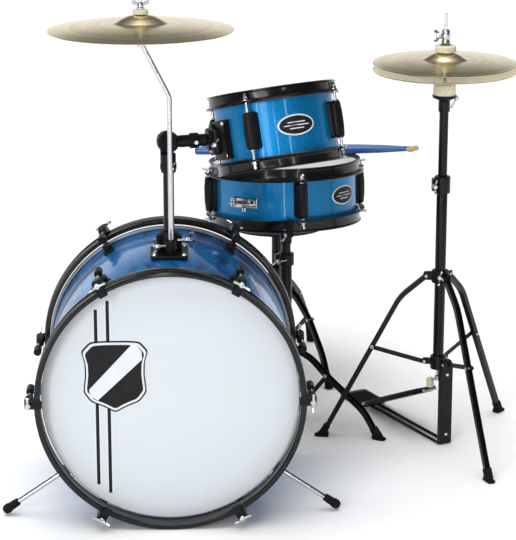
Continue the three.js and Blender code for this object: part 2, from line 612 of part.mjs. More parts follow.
// ---------------------------------------------------------------- throne
function throneAssembly() {
  const spec = THRONE;
  const cheeks = tripodTurns(spec.azimuth).flatMap((angle) => around(clevis(spec.pivot), angle));
  const z = spec.pivot[1];
  const body = join(
    rod(spec.tubeR, spec.low, spec.high, SMALL),
    rod(spec.clampR, spec.high - spec.clampHeight, spec.high, SMALL),
    rod(spec.collarR, z - spec.collarHalf, z + spec.collarHalf, SMALL),
    ...cheeks,
  );
  const inner = spec.tubeR - spec.wall;
  const column = cut(body, rod(inner, spec.low - 5, spec.high + 5, SMALL));
  const { radius, under, thick, socketR, socketDepth } = SEAT;
  const postTop = under - 6;
  const top = under + thick;
  const seat = turned([[0, postTop + GAP], [inner, postTop + GAP], [inner, under - socketDepth],
    [socketR, under - socketDepth], [socketR, under], [radius - 8, under], [radius, under + 10],
    [radius, top - 16], [radius - 8, top - 6], [radius - 36, top], [0, top]], MID);
  const throne = groupOf(
    named("throne_tube", column, "blackTube"),
    named("throne_post", rod(inner - RUN, spec.postLow, postTop, SMALL), "blackTube"),
    named("throne_seat", seat, "vinyl"),
    ...tripodLegs("throne", spec),
  );
  throne.position.set(spec.x, spec.y, 0);
  return throne;
}

// ---------------------------------------------------------------- bass pedal
function bassPedal() {
  const { width, plate, front, heel, postY, postHeight, postWall } = PEDAL;
  const base = box(width + 2 * postWall, 60, plate, 0, postY, plate / 2);
  const spine = box(18, heel - front, plate - 1, 0, (heel + front) / 2, (plate - 1) / 2);
  const heelPad = box(width, 44, plate + 2, 0, heel - 18, (plate + 2) / 2);
  const uprights = [-1, 1].map((side) =>
    box(postWall, 16, postHeight, (side * (width + postWall)) / 2, postY, postHeight / 2));
  const frame = named("pedal_frame", join(base, spine, heelPad, ...uprights), "black");

  const { hingeY, hingeZ, toeY, toeZ, thick } = PEDAL_BOARD;
  const board = strip([[-toeY, toeZ], [-hingeY + 2, hingeZ]], thick, width - 6).rotateZ(-Math.PI / 2);
  const footboard = named("pedal_footboard", board, "black");

  const { pivotZ, shaftR, rodR, length, back, headR, headLength } = BEATER;
  const shaft = alongX(rod(shaftR, -width / 2 + 0.6, width / 2 - 0.6));
  const stem = rod(rodR, 0, length - 4, TINY);
  const felt = alongY(rod(headR, -headLength / 2, headLength / 2, SMALL)).translate(0, 0, length);
  const hammer = join(stem, felt).rotateX(-radians(back));
  const beater = named("pedal_beater", join(shaft, hammer), "chrome");
  beater.position.set(0, postY, pivotZ);
  const pedal = groupOf(frame, footboard, beater);
  pedal.position.x = PEDAL.x;
  return pedal;
}

// ---------------------------------------------------------------- the kit, centred over its own footprint
const kit = groupOf(bassDrum(), tomAssembly(), crashAssembly(), snareAssembly(), hatAssembly(), throneAssembly(),
  bassPedal());
kit.updateMatrixWorld(true);
const extent = new THREE.Box3().setFromObject(kit, true);
kit.position.set(-(extent.min.x + extent.max.x) / 2, -(extent.min.y + extent.max.y) / 2, 0);

export default kit;
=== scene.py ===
import math

import bmesh
import bpy
from bpy.props import FloatProperty, FloatVectorProperty, IntProperty, PointerProperty
from mathutils import Matrix, Vector


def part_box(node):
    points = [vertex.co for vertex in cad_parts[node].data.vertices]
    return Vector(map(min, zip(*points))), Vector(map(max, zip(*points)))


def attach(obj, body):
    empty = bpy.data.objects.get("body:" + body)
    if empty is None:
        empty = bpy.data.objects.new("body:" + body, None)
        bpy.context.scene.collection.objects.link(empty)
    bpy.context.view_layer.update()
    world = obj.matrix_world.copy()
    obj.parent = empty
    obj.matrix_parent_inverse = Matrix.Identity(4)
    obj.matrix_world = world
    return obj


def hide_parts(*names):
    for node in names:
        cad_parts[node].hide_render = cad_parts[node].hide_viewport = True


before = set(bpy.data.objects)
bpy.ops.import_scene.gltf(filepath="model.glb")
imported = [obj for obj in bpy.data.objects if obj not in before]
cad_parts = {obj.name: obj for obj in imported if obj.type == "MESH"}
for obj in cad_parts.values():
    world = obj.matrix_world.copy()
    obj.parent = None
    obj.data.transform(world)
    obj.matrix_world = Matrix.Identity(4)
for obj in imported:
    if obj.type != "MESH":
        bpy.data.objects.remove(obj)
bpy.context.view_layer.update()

bl_info = {
    "name": "Junior drum kit",
    "version": (1, 0, 0),
    "blender": (4, 5, 0),
    "location": "View3D > Sidebar > Drum kit",
    "description": "Builds the shells, hoops, fittings, cymbals, stands and sticks of a small drum kit",
    "category": "Add Mesh",
}

HOOP_LOW, HOOP_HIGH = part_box("bass_front_hoop")
ORIGIN = Vector(((HOOP_LOW.x + HOOP_HIGH.x) / 2, HOOP_LOW.y, 0.0))
ROW = Matrix.Translation(ORIGIN) @ Matrix.Scale(0.001, 4)
STILL = Matrix.Identity(4)


def move(x, y, z):
    return Matrix.Translation((x, y, z))


def turn(degrees, axis):
    return Matrix.Rotation(math.radians(degrees), 4, axis)


AXIS_Z = (HOOP_HIGH.z + HOOP_LOW.z) * 500
BASS = {"shell": 203, "wall": 6, "depth": 350, "hoop": 218.3, "band": 9.6, "width": 27, "recess": 25}
HOLDER_Z = AXIS_Z + BASS["shell"]
POST_Y, ROD_Y, ROD_X = 170, 140, 3
KNUCKLE_Z, ARM_SWING = 606, 13
TOM = {"shell": 97.6, "half": 65, "flange": 9, "hoop": 21}
SNARE = {"shell": 127.5, "half": 56.5, "flange": 12, "hoop": 23}
HOOP_STAND, HEAD_RING, PLAY = 7, 3, 0.3
ARM_FRAME = move(0, POST_Y, KNUCKLE_Z) @ turn(ARM_SWING, "Z")
TOM_FRAME = ARM_FRAME @ move(182.4, 0, 12) @ turn(-15, "X") @ turn(-4.6, "Y")
SNARE_FRAME = move(209, 531.5, 434.5) @ turn(-5.4, "X") @ turn(-1.2, "Y")
LAY = turn(-90, "X")
BASS_FRAME = move(0, 0, AXIS_Z) @ LAY
BASS_BACK = move(0, BASS["depth"], AXIS_Z) @ turn(180, "Z") @ LAY
BASKET_PIVOT = SNARE_FRAME @ Vector((0, 0, -SNARE["half"] - 22))
SNARE_STAND = {
    "tube": 11, "high": 318, "clamp": 15, "collar": 17, "half": 10, "azimuth": -36.4,
    "pivot": (27, 137), "knee": (57, 127), "rivet": (89, 100), "shin": (170, 47), "foot": (203, 0),
    "hub": (27, 24),
}
HAT = {
    "tube": 9.5, "high": 470, "clamp": 14, "collar": 15, "half": 11, "azimuth": 169.1,
    "pivot": (24, 311), "knee": (70, 270), "rivet": (118, 176), "shin": (186, 43), "foot": (208, 0),
    "hub": (24, 153),
}
THRONE = {
    "tube": 13, "high": 206, "clamp": 17, "collar": 19, "half": 10, "azimuth": -56.8,
    "pivot": (29, 172), "knee": (62, 160), "rivet": (108, 122), "shin": (151, 61), "foot": (175, 0),
}
STAND_AT = move(BASKET_PIVOT.x, BASKET_PIVOT.y, 0)
HAT_AT = move(475.6, 387.7, 0)
THRONE_AT = move(209, 831, 0)
PEDAL_TURN = 116


class KitSizes(bpy.types.PropertyGroup):
    lug_reach: FloatProperty(
        name="Lug reach", description="How far a drum lug stands off its shell", default=0.017,
        unit="LENGTH", subtype="DISTANCE")
    tension_rod: FloatProperty(
        name="Tension rod radius", description="Radius of a tension rod", default=0.0024,
        unit="LENGTH", subtype="DISTANCE")
    claw_count: IntProperty(
        name="Claws", description="Claws round each end of the bass drum", default=6, min=3, max=12)
    lug_count: IntProperty(
        name="Lugs", description="Lugs round the tom and round the snare", default=4, min=3, max=10)
    snare_wires: IntProperty(
        name="Snare wires", description="Coiled wires under the snare drum", default=10, min=4, max=24)
    rim_curl: FloatProperty(
        name="Cymbal bow", description="Height of a cymbal's bow from rim to bell", default=0.011,
        unit="LENGTH", subtype="DISTANCE")
    channel_wall: FloatProperty(
        name="Leg wall", description="Sheet thickness of the folding legs", default=0.0016,
        unit="LENGTH", subtype="DISTANCE")


class KitColours(bpy.types.PropertyGroup):
    bass_wrap: FloatVectorProperty(
        name="Bass wrap", description="Colour of the bass drum's marbled wrap", subtype="COLOR",
        default=(0.001, 0.12, 0.46), min=0, max=1)
    drum_wrap: FloatVectorProperty(
        name="Drum wrap", description="Colour of the tom's and snare's sparkle wrap", subtype="COLOR",
        default=(0.0, 0.17, 0.44), min=0, max=1)
    brass: FloatVectorProperty(
        name="Cymbal brass", description="Colour of the cymbals", subtype="COLOR",
        default=(0.74, 0.63, 0.38), min=0, max=1)
    stick: FloatVectorProperty(
        name="Stick paint", description="Colour of the painted drumsticks", subtype="COLOR",
        default=(0.001, 0.09, 0.34), min=0, max=1)
    paint: FloatVectorProperty(
        name="Black paint", description="Colour of the hoops, lugs and stands", subtype="COLOR",
        default=(0.0035, 0.0035, 0.004), min=0, max=1)


# ---------------------------------------------------------------- shaders
class Link:
    """A shader socket that can be used in arithmetic; each operation adds a Math node."""

    def __init__(self, shade, socket):
        self.shade = shade
        self.socket = socket

    def math(self, operation, *values):
        return self.shade.node("ShaderNodeMath", {"operation": operation}, dict(enumerate(values)))

    def __add__(self, other):
        return self.math("ADD", self, other)

    def __radd__(self, other):
        return self.math("ADD", other, self)

    def __sub__(self, other):
        return self.math("SUBTRACT", self, other)

    def __rsub__(self, other):
        return self.math("SUBTRACT", other, self)

    def __mul__(self, other):
        return self.math("MULTIPLY", self, other)

    def __rmul__(self, other):
        return self.math("MULTIPLY", other, self)

    def __pow__(self, other):
        return self.math("POWER", self, other)

    def __gt__(self, other):
        return self.math("GREATER_THAN", self, other)

    def between(self, low, high):
        return self.shade.node("ShaderNodeMapRange", {"clamp": True}, {
            "Value": self, "From Min": low, "From Max": high, "To Min": 0.0, "To Max": 1.0})


class Shade:
    """The node tree of one finish."""

    def __init__(self, name):
        self.material = bpy.data.materials.new(name)
        self.material.use_nodes = True
        self.tree = self.material.node_tree
        self.shader = self.tree.nodes["Principled BSDF"]

    def node(self, kind, settings=None, sockets=None, out=0):
        made = self.tree.nodes.new(kind)
        for key, value in (settings or {}).items():
            if key == "stops":
                ramp = made.color_ramp.elements
                while len(ramp) < len(value):
                    ramp.new(0.5)
                for element, (place, colour) in zip(ramp, value):
                    element.position = place
                    element.color = (*colour, 1) if len(colour) == 3 else colour
            else:
                setattr(made, key, value)
        for key, value in (sockets or {}).items():
            self.put(made.inputs[key], value)
        return Link(self, made.outputs[out])

    def put(self, socket, value):
        if isinstance(value, Link):
            self.tree.links.new(value.socket, socket)
        elif isinstance(value, (tuple, list, Vector)) and len(value) == 3 and socket.type == "RGBA":
            socket.default_value = (*value, 1)
        else:
            socket.default_value = value

    def place(self, scale=1.0, location=(0, 0, 0), rotation=(0, 0, 0)):
        """Object coordinates in metres, moved, turned and scaled."""
        raw = self.node("ShaderNodeTexCoord", out=3)
        size = scale if isinstance(scale, tuple) else (scale, scale, scale)
        return self.node("ShaderNodeMapping", {"vector_type": "POINT"}, {
            "Vector": raw, "Location": location, "Rotation": rotation, "Scale": size})

    def noise(self, scale, detail=3.0, rough=0.5, vector=None, out=0):
        return self.node("ShaderNodeTexNoise", None, {
            "Vector": vector or self.place(), "Scale": scale, "Detail": detail, "Roughness": rough}, out)

    def mix(self, factor, low, high, blend="MIX"):
        mixed = self.tree.nodes.new("ShaderNodeMix")
        mixed.data_type = "RGBA"
        mixed.blend_type = blend
        self.put(mixed.inputs[0], factor)
        self.put(mixed.inputs[6], low)
        self.put(mixed.inputs[7], high)
        return Link(self, mixed.outputs[2])

    def bump(self, height, strength, distance=0.0005):
        return self.node("ShaderNodeBump", None,
                         {"Height": height, "Strength": strength, "Distance": distance})

    def surface(self, **sockets):
        names = {
            "colour": "Base Color", "rough": "Roughness", "metal": "Metallic", "normal": "Normal",
            "coat": "Coat Weight", "coat_rough": "Coat Roughness", "sheen": "Sheen Weight",
            "sheen_rough": "Sheen Roughness", "specular": "Specular IOR Level",
        }
        for key, value in sockets.items():
            self.put(self.shader.inputs[names[key]], value)
        return self.material


def tinted(colour, factor):
    return tuple(min(1.0, part * factor) for part in colour)


def marbled_wrap(colour):
    """Deep blue pearl sheet under clear gloss: folded pale veins over a darker ground."""
    shade = Shade("marbled_wrap")
    drift = shade.noise(5.0, 4, 0.55, shade.place((1.0, 0.45, 1.0)), out=1)
    warped = shade.node("ShaderNodeVectorMath", {"operation": "MULTIPLY_ADD"}, {
        0: drift, 1: (0.5, 0.5, 0.5), 2: shade.place((1.0, 0.4, 1.0))})
    folds = shade.noise(13.0, 5, 0.6, warped)
    veins = (1 - (folds - 0.5).math("ABSOLUTE", folds - 0.5) * 9).between(0.0, 1.0)
    cloud = shade.noise(26.0, 3, 0.5, warped)
    ground = shade.mix(cloud.between(0.3, 0.7), tinted(colour, 0.25), tinted(colour, 1.3))
    lit = shade.mix(veins * 0.7, ground, (0.004, 0.34, 0.82))
    fleck = shade.node("ShaderNodeTexVoronoi", None, {"Vector": shade.place(), "Scale": 900.0}, out=1)
    grain = shade.node("ShaderNodeSeparateColor", None, {"Color": fleck})
    colour_out = shade.mix(grain.between(0.9, 1.0) * 0.25, lit, (0.03, 0.3, 0.8))
    return shade.surface(
        colour=colour_out, rough=0.26 + cloud * 0.14, metal=0.5, coat=0.5, coat_rough=0.04, specular=0.2,
        normal=shade.bump(shade.noise(160.0), 0.03))


def sparkle_wrap(colour):
    """Sparkle sheet: tiny flakes that each hold their own brightness and tilt under gloss, the brightest ones
    coloured pale cyan as painted glints.
    """
    shade = Shade("sparkle_wrap")
    flakes = shade.node("ShaderNodeTexVoronoi", None, {"Vector": shade.place(), "Scale": 1150.0}, out=1)
    parts = shade.node("ShaderNodeSeparateColor", None, {"Color": flakes})
    cloud = shade.noise(9.0)
    ground = shade.mix(cloud.between(0.3, 0.7), tinted(colour, 0.72), tinted(colour, 1.15))
    speckled = shade.mix(parts.between(0.35, 1.0) * 0.4, ground, (0.0, 0.3, 0.56))
    # painted glints: the top few flakes are coloured pale cyan as if catching a lamp
    painted_glints = shade.mix(parts.between(0.94, 0.99) * 0.45, speckled, (0.1, 0.55, 0.7))
    tilt = shade.bump(parts, 0.22, 0.0003)
    return shade.surface(colour=painted_glints, rough=0.3 + parts * 0.2, metal=0.55, coat=0.35,
                         coat_rough=0.05, specular=0.15, normal=tilt)


def black_finish(name, colour, rough, grain_scale, grain, coat=0.0, metal=0.0):
    """Black paint, plastic or rubber: dusty patches, faint scuffs and its own grain."""
    shade = Shade(name)
    patch = shade.noise(14.0, 5, 0.6)
    scuff = shade.noise(420.0, 2, 0.5, shade.place((1.0, 1.0, 0.12)))
    colour_out = shade.mix(patch.between(0.35, 0.75) * 0.5, tinted(colour, 0.8), tinted(colour, 1.7))
    worn = shade.mix(scuff.between(0.68, 0.8) * 0.25, colour_out, (0.022, 0.022, 0.024))
    return shade.surface(
        colour=worn, rough=rough + patch * 0.1 - 0.05 + scuff.between(0.66, 0.8) * 0.12, metal=metal,
        coat=coat, coat_rough=0.1, specular=0.18, normal=shade.bump(shade.noise(grain_scale), grain, 0.0003))


def bright_metal(name, colour, rough, streak=0.0):
    """Plated metal: slight cloudiness, faint polishing lines and a little tarnish."""
    shade = Shade(name)
    cloud = shade.noise(30.0, 4)
    lines = shade.noise(600.0, 2, 0.5, shade.place((1.0, 1.0, 0.06)))
    colour_out = shade.mix(cloud.between(0.35, 0.8) * 0.4, colour, tinted(colour, 0.78))
    return shade.surface(
        colour=colour_out, rough=rough + cloud * 0.08 + lines * streak, metal=1.0,
        normal=shade.bump(lines, 0.02 + streak * 0.3, 0.0002))


def cymbal_brass(name, colour, centre, bell):
    """Lathed brass: fine grooves that run round the disc, broad tonal bands and a smooth bell."""
    shade = Shade(name)
    near = shade.place(1.0, tuple(-part for part in centre))
    split = shade.tree.nodes.new("ShaderNodeSeparateXYZ")
    shade.tree.links.new(near.socket, split.inputs[0])
    x, y = Link(shade, split.outputs[0]), Link(shade, split.outputs[1])
    radius = (x * x + y * y).math("SQRT", x * x + y * y)
    grooves = (radius * 4200.0).math("SINE", radius * 4200.0)
    bands = shade.noise(1.0, 4, 0.7, shade.node("ShaderNodeCombineXYZ", None, {"X": radius * 95.0}))
    smear = shade.noise(18.0, 4)
    lathed = radius > bell
    hammer = shade.node("ShaderNodeTexVoronoi", None, {"Vector": near, "Scale": 62.0})
    deep = shade.mix(bands.between(0.3, 0.7), tinted(colour, 0.72), tinted(colour, 1.25))
    aged = shade.mix(smear.between(0.55, 0.8) * 0.3, deep, (0.5, 0.38, 0.16))
    height = grooves * lathed * 0.3 + hammer * 0.8 + bands
    return shade.surface(
        colour=aged, rough=0.12 + bands * 0.12 + smear * 0.05, metal=1.0,
        normal=shade.bump(height, 0.14, 0.0002))


def drum_film(name, colour, rough):
    """Coated head film: even white with a faint mottle and soft handling marks."""
    shade = Shade(name)
    mottle = shade.noise(240.0, 4, 0.6)
    marks = shade.noise(7.0, 5, 0.6)
    colour_out = shade.mix(marks.between(0.45, 0.8) * 0.35, colour, tinted(colour, 0.9))
    return shade.surface(colour=colour_out, rough=rough + marks * 0.1, specular=0.2,
                         normal=shade.bump(mottle, 0.06, 0.0002))


def pressed_felt(name, colour):
    """Wool felt: matted fibres and a soft nap."""
    shade = Shade(name)
    fibres = shade.noise(900.0, 4, 0.8)
    clumps = shade.noise(150.0, 3)
    colour_out = shade.mix(clumps.between(0.3, 0.7), tinted(colour, 0.8), colour)
    return shade.surface(
        colour=shade.mix(fibres.between(0.5, 0.8) * 0.4, colour_out, tinted(colour, 0.62)), rough=0.95,
        sheen=0.4, sheen_rough=0.5, normal=shade.bump(fibres * 0.6 + clumps, 0.6, 0.0008))


def grained_wood(name, colour):
    """Straight grained maple with darker pores."""
    shade = Shade(name)
    grain = shade.noise(60.0, 5, 0.65, shade.place((0.06, 1.0, 1.0)))
    pores = shade.noise(700.0, 2, 0.5, shade.place((0.05, 1.0, 1.0)))
    colour_out = shade.mix(grain.between(0.3, 0.7), tinted(colour, 0.72), colour)
    return shade.surface(
        colour=shade.mix(pores.between(0.6, 0.75) * 0.5, colour_out, tinted(colour, 0.45)),
        rough=0.48 + grain * 0.1,
        normal=shade.bump(grain + pores * 0.4, 0.15, 0.0003))


def stick_paint(name, colour):
    """Thin lacquer on wood: the grain still shows, worn paler in streaks."""
    shade = Shade(name)
    grain = shade.noise(55.0, 4, 0.6, shade.place((0.07, 1.0, 1.0)))
    worn = shade.noise(34.0, 5, 0.7)
    colour_out = shade.mix(grain.between(0.35, 0.7), tinted(colour, 0.75), tinted(colour, 1.2))
    return shade.surface(
        colour=shade.mix(worn.between(0.68, 0.8) * 0.4, colour_out, (0.16, 0.36, 0.62)),
        rough=0.34 + worn * 0.12,
        coat=0.4, coat_rough=0.2, normal=shade.bump(grain, 0.1, 0.0003))


def vinyl_cover(name):
    """Black upholstery vinyl: pebbled leather grain with creased lows, the creases coloured darker as painted
    shade.
    """
    shade = Shade(name)
    pebble = shade.node("ShaderNodeTexVoronoi", {"feature": "DISTANCE_TO_EDGE"}, {
        "Vector": shade.place(), "Scale": 420.0})
    broad = shade.noise(22.0, 4)
    # painted shade: the creases between the pebbles are coloured darker where shade would fall
    colour_out = shade.mix(pebble.between(0.0, 0.12), (0.006, 0.006, 0.007), (0.022, 0.022, 0.024))
    return shade.surface(
        colour=colour_out, rough=0.42 + broad * 0.14, sheen=0.1,
        normal=shade.bump(pebble.between(0.0, 0.2) + broad * 0.3, 0.4, 0.0006))


def printed_film(name, colour, rough):
    """Vinyl decal print: flat ink with faint lay lines."""
    shade = Shade(name)
    patch = shade.noise(50.0, 4)
    colour_out = shade.mix(patch.between(0.4, 0.8) * 0.4, colour,
                           tuple(part * 0.8 + 0.012 for part in colour))
    return shade.surface(colour=colour_out, rough=rough + patch * 0.12, specular=0.12,
                         normal=shade.bump(shade.noise(500.0), 0.04))


def studio_floor():
    shade = Shade("studio_floor")
    dust = shade.noise(3.0, 3)
    return shade.surface(colour=shade.mix(dust, (0.93, 0.93, 0.93), (0.95, 0.95, 0.95)), rough=0.6,
                         specular=0.1)


FINISH = {}


def mix_finishes(colours):
    paint = tuple(colours.paint)
    brass = tuple(colours.brass)
    FINISH.update({
        "bass_wrap": marbled_wrap(tuple(colours.bass_wrap)),
        "drum_wrap": sparkle_wrap(tuple(colours.drum_wrap)),
        "gloss_black": black_finish("gloss_black", paint, 0.24, 300.0, 0.03, 0.3),
        "tube_black": black_finish("tube_black", paint, 0.3, 500.0, 0.05, 0.1),
        "cast_black": black_finish("cast_black", tinted(paint, 1.2), 0.42, 900.0, 0.2),
        "rubber": black_finish("rubber", tinted(paint, 1.3), 0.78, 700.0, 0.35),
        "chrome": bright_metal("chrome", (0.55, 0.56, 0.58), 0.08, 0.03),
        "steel": bright_metal("steel", (0.5, 0.5, 0.5), 0.26, 0.12),
        "rivet_brass": bright_metal("rivet_brass", (0.5, 0.47, 0.4), 0.26, 0.05),
        "crash_brass": cymbal_brass("crash_brass", brass, ROW @ Vector((-41, ROD_Y, 0)), 0.044),
        "hat_brass": cymbal_brass("hat_brass", tinted(brass, 0.95), ROW @ Vector((475.6, 387.7, 0)), 0.038),
        "front_film": drum_film("front_film", (0.6, 0.64, 0.67), 0.42),
        "drum_film": drum_film("drum_film", (0.62, 0.63, 0.63), 0.5),
        "flesh_hoop": bright_metal("flesh_hoop", (0.3, 0.31, 0.33), 0.34, 0.08),
        "felt": pressed_felt("felt", (0.8, 0.74, 0.56)),
        "beater_felt": pressed_felt("beater_felt", (0.6, 0.58, 0.52)),
        "cream_plastic": printed_film("cream_plastic", (0.66, 0.6, 0.42), 0.4),
        "wood": grained_wood("wood", (0.72, 0.5, 0.27)),
        "stick_paint": stick_paint("stick_paint", tuple(colours.stick)),
        "vinyl": vinyl_cover("vinyl"),
        "ink_black": printed_film("ink_black", (0.012, 0.012, 0.013), 0.3),
        "ink_white": printed_film("ink_white", (0.68, 0.71, 0.73), 0.3),
    })


# ---------------------------------------------------------------- mesh building
def rounded(points, radius, steps=3, closed=False):
    """The same line with every corner eased by a short curve."""
    count = len(points)
    eased = []
    for i, point in enumerate(points):
        here = Vector(point)
        if not closed and i in (0, count - 1):
            eased.append(tuple(here))
            continue
        back, ahead = Vector(points[i - 1]) - here, Vector(points[(i + 1) % count]) - here
        reach = min(radius, back.length * 0.48, ahead.length * 0.48)
        if reach < 1e-4:
            eased.append(tuple(here))
            continue
        start, end = here + back.normalized() * reach, here + ahead.normalized() * reach
        for k in range(steps + 1):
            t = k / steps
            eased.append(tuple(start * (1 - t) ** 2 + here * (2 * t * (1 - t)) + end * t ** 2))
    return eased


def oval(width, height, steps=24):
    return [(width * math.cos(math.tau * i / steps),
             height * math.sin(math.tau * i / steps)) for i in range(steps)]


def rectangle(width, height, radius=2.0, steps=3):
    w, h = width / 2, height / 2
    return rounded([(-w, -h), (w, -h), (w, h), (-w, h)], radius, steps, closed=True)


class Shape:
    """Closed surfaces gathered for one piece, in kit millimetres."""

    def __init__(self):
        self.points, self.faces, self.slots = [], [], []

    def add(self, points, faces, finish=0, place=STILL):
        base = len(self.points)
        self.points += [place @ Vector(p) for p in points]
        self.faces += [tuple(base + i for i in face) for face in faces]
        self.slots += [finish] * len(faces)
        return self

    def turned(self, profile, finish=0, place=STILL, sides=64):
        """A profile of (radius, height) points turned about Z, closed at the axis or on itself."""
        rows, points = [], []
        for r, z in profile:
            if r < 1e-6:
                rows.append([len(points)] * sides)
                points.append((0, 0, z))
            else:
                rows.append(list(range(len(points), len(points) + sides)))
                points += [(r * math.cos(math.tau * k / sides), r * math.sin(math.tau * k / sides), z)
                           for k in range(sides)]
        loops = list(zip(rows, rows[1:]))
        if profile[0][0] > 1e-6 or profile[-1][0] > 1e-6:
            loops.append((rows[-1], rows[0]))
        faces = []
        for low, high in loops:
            for k in range(sides):
                n = (k + 1) % sides
                corners = [low[k], low[n], high[n], high[k]]
                face = [c for i, c in enumerate(corners) if c != corners[i - 1]]
                if len(face) > 2:
                    faces.append(face)
        return self.add(points, faces, finish, place)

    def rod(self, radius, start, end, finish=0, place=STILL, sides=24, ease=0.6):
        """A round bar between two points with eased ends."""
        a, b = Vector(start), Vector(end)
        length = (b - a).length
        e = min(ease, radius * 0.5, length * 0.2)
        spin = (b - a).to_track_quat("Z", "Y").to_matrix().to_4x4()
        profile = [(0, 0), (radius - e, 0), (radius, e), (radius, length - e), (radius - e, length),
                   (0, length)]
        return self.turned(profile, finish, place @ Matrix.Translation(a) @ spin, sides)

    def slab(self, outline, low, high, ease=0.6, finish=0, place=STILL):
        """A flat outline raised from low to high with eased edges."""
        count = len(outline)
        flat = [Vector(p) for p in outline]
        area = sum(flat[i - 1].cross(flat[i]) for i in range(count))
        side = 1 if area > 0 else -1
        inner = []
        for i, p in enumerate(flat):
            before, after = (p - flat[i - 1]).normalized(), (flat[(i + 1) % count] - p).normalized()
            normal = Vector((-before.y - after.y, before.x + after.x))
            normal = normal.normalized() * side if normal.length > 1e-6 else Vector((0, 0))
            inner.append(p + normal * ease)
        e = min(ease, (high - low) * 0.4)
        levels = [(inner, low), (flat, low + e), (flat, high - e), (inner, high)]
        points = [(p.x, p.y, z) for line, z in levels for p in line]
        faces = [tuple(range(count)), tuple(range(3 * count, 4 * count))]
        for level in range(3):
            for i in range(count):
                n = (i + 1) % count
                faces.append((level * count + i, level * count + n, (level + 1) * count + n,
                              (level + 1) * count + i))
        return self.add(points, faces, finish, place)

    def curved(self, inner, outer, spread, low, high, finish=0, place=STILL, steps=14):
        """A plate wrapped round the Z axis, spread degrees to each side of +X, with softened edges."""
        mid, reach = (inner + outer) / 2, (outer - inner) / 2
        tall, centre = (high - low) / 2, (high + low) / 2
        section = rounded([(-reach, -tall), (reach, -tall), (reach, tall), (-reach, tall)], 1.6, 2,
                          closed=True)
        points, faces = [], []
        count = len(section)
        for k in range(steps + 1):
            angle = math.radians(spread * (2 * k / steps - 1))
            for across, up in section:
                r = mid + across
                points.append((r * math.cos(angle), r * math.sin(angle), centre + up))
        for k in range(steps):
            for i in range(count):
                n = (i + 1) % count
                faces.append((k * count + i, k * count + n, (k + 1) * count + n, (k + 1) * count + i))
        faces += [tuple(range(count)), tuple(range(steps * count, (steps + 1) * count))]
        return self.add(points, faces, finish, place)

    def block(self, size, centre, ease=0.8, finish=0, place=STILL, corner=2.0):
        """A box with rounded corners, standing on its own centre."""
        outline = rectangle(size[0], size[1], min(corner, min(size[:2]) * 0.45))
        return self.slab(outline, -size[2] / 2, size[2] / 2, ease, finish, place @ move(*centre))

    def swept(self, line, section, finish=0, place=STILL, across=(0, 1, 0)):
        """A section of (up, across) points carried along a line with mitred bends."""
        stops = [Vector(p) for p in line]
        side = Vector(across)
        count = len(section)
        points, faces = [], []
        for i, stop in enumerate(stops):
            before = (stop - stops[max(i - 1, 0)]).normalized() if i else (stops[1] - stop).normalized()
            after = (stops[i + 1] - stop).normalized() if i < len(stops) - 1 else before
            up_before, up_after = side.cross(before), side.cross(after)
            mitre = (up_before + up_after).normalized()
            stretch = 1 / max(mitre.dot(up_after), 0.3)
            points += [stop + mitre * (u * stretch) + side * v for u, v in section]
        for i in range(len(stops) - 1):
            for k in range(count):
                n = (k + 1) % count
                faces.append((i * count + k, i * count + n, (i + 1) * count + n, (i + 1) * count + k))
        faces.append(tuple(range(count)))
        faces.append(tuple(range((len(stops) - 1) * count, len(stops) * count)))
        return self.add(points, faces, finish, place)

    def mesh(self, name, finishes, frame_at=ROW):
        data = bpy.data.meshes.new(name)
        data.from_pydata([tuple(frame_at @ p) for p in self.points], [], self.faces)
        for key in finishes:
            data.materials.append(FINISH[key])
        data.polygons.foreach_set("material_index", self.slots)
        work = bmesh.new()
        work.from_mesh(data)
        bmesh.ops.remove_doubles(work, verts=work.verts, dist=1e-7)
        bmesh.ops.recalc_face_normals(work, faces=work.faces)
        work.to_mesh(data)
        work.free()
        data.shade_smooth()
        data.set_sharp_from_angle(angle=math.radians(34))
        return data

    def make(self, name, body, finishes, slot, replaces=()):
        return settle(name, self.mesh(name, finishes), body, replaces)


def settle(name, mesh, body, replaces=()):
    piece = bpy.data.objects.new(name, mesh)
    mesh.name = name
    bpy.context.scene.collection.objects.link(piece)
    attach(piece, body)
    if replaces:
        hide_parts(*replaces)
    return piece


# ---------------------------------------------------------------- geometry nodes
def new_tree(name, inputs):
    tree = bpy.data.node_groups.new(name, "GeometryNodeTree")
    tree.interface.new_socket("Geometry", in_out="INPUT", socket_type="NodeSocketGeometry")
    for label, kind, default in inputs:
        socket = tree.interface.new_socket(label, in_out="INPUT", socket_type=kind)
        if default is not None:
            socket.default_value = default
    tree.interface.new_socket("Geometry", in_out="OUTPUT", socket_type="NodeSocketGeometry")
    return tree, tree.nodes.new("NodeGroupInput"), tree.nodes.new("NodeGroupOutput")


def finish_tree(tree, given, result, last):
    real = tree.nodes.new("GeometryNodeRealizeInstances")
    coat = tree.nodes.new("GeometryNodeSetMaterial")
    tree.links.new(last, real.inputs[0])
    tree.links.new(real.outputs[0], coat.inputs["Geometry"])
    tree.links.new(given.outputs["Finish"], coat.inputs["Material"])
    tree.links.new(coat.outputs[0], result.inputs[0])
    return tree


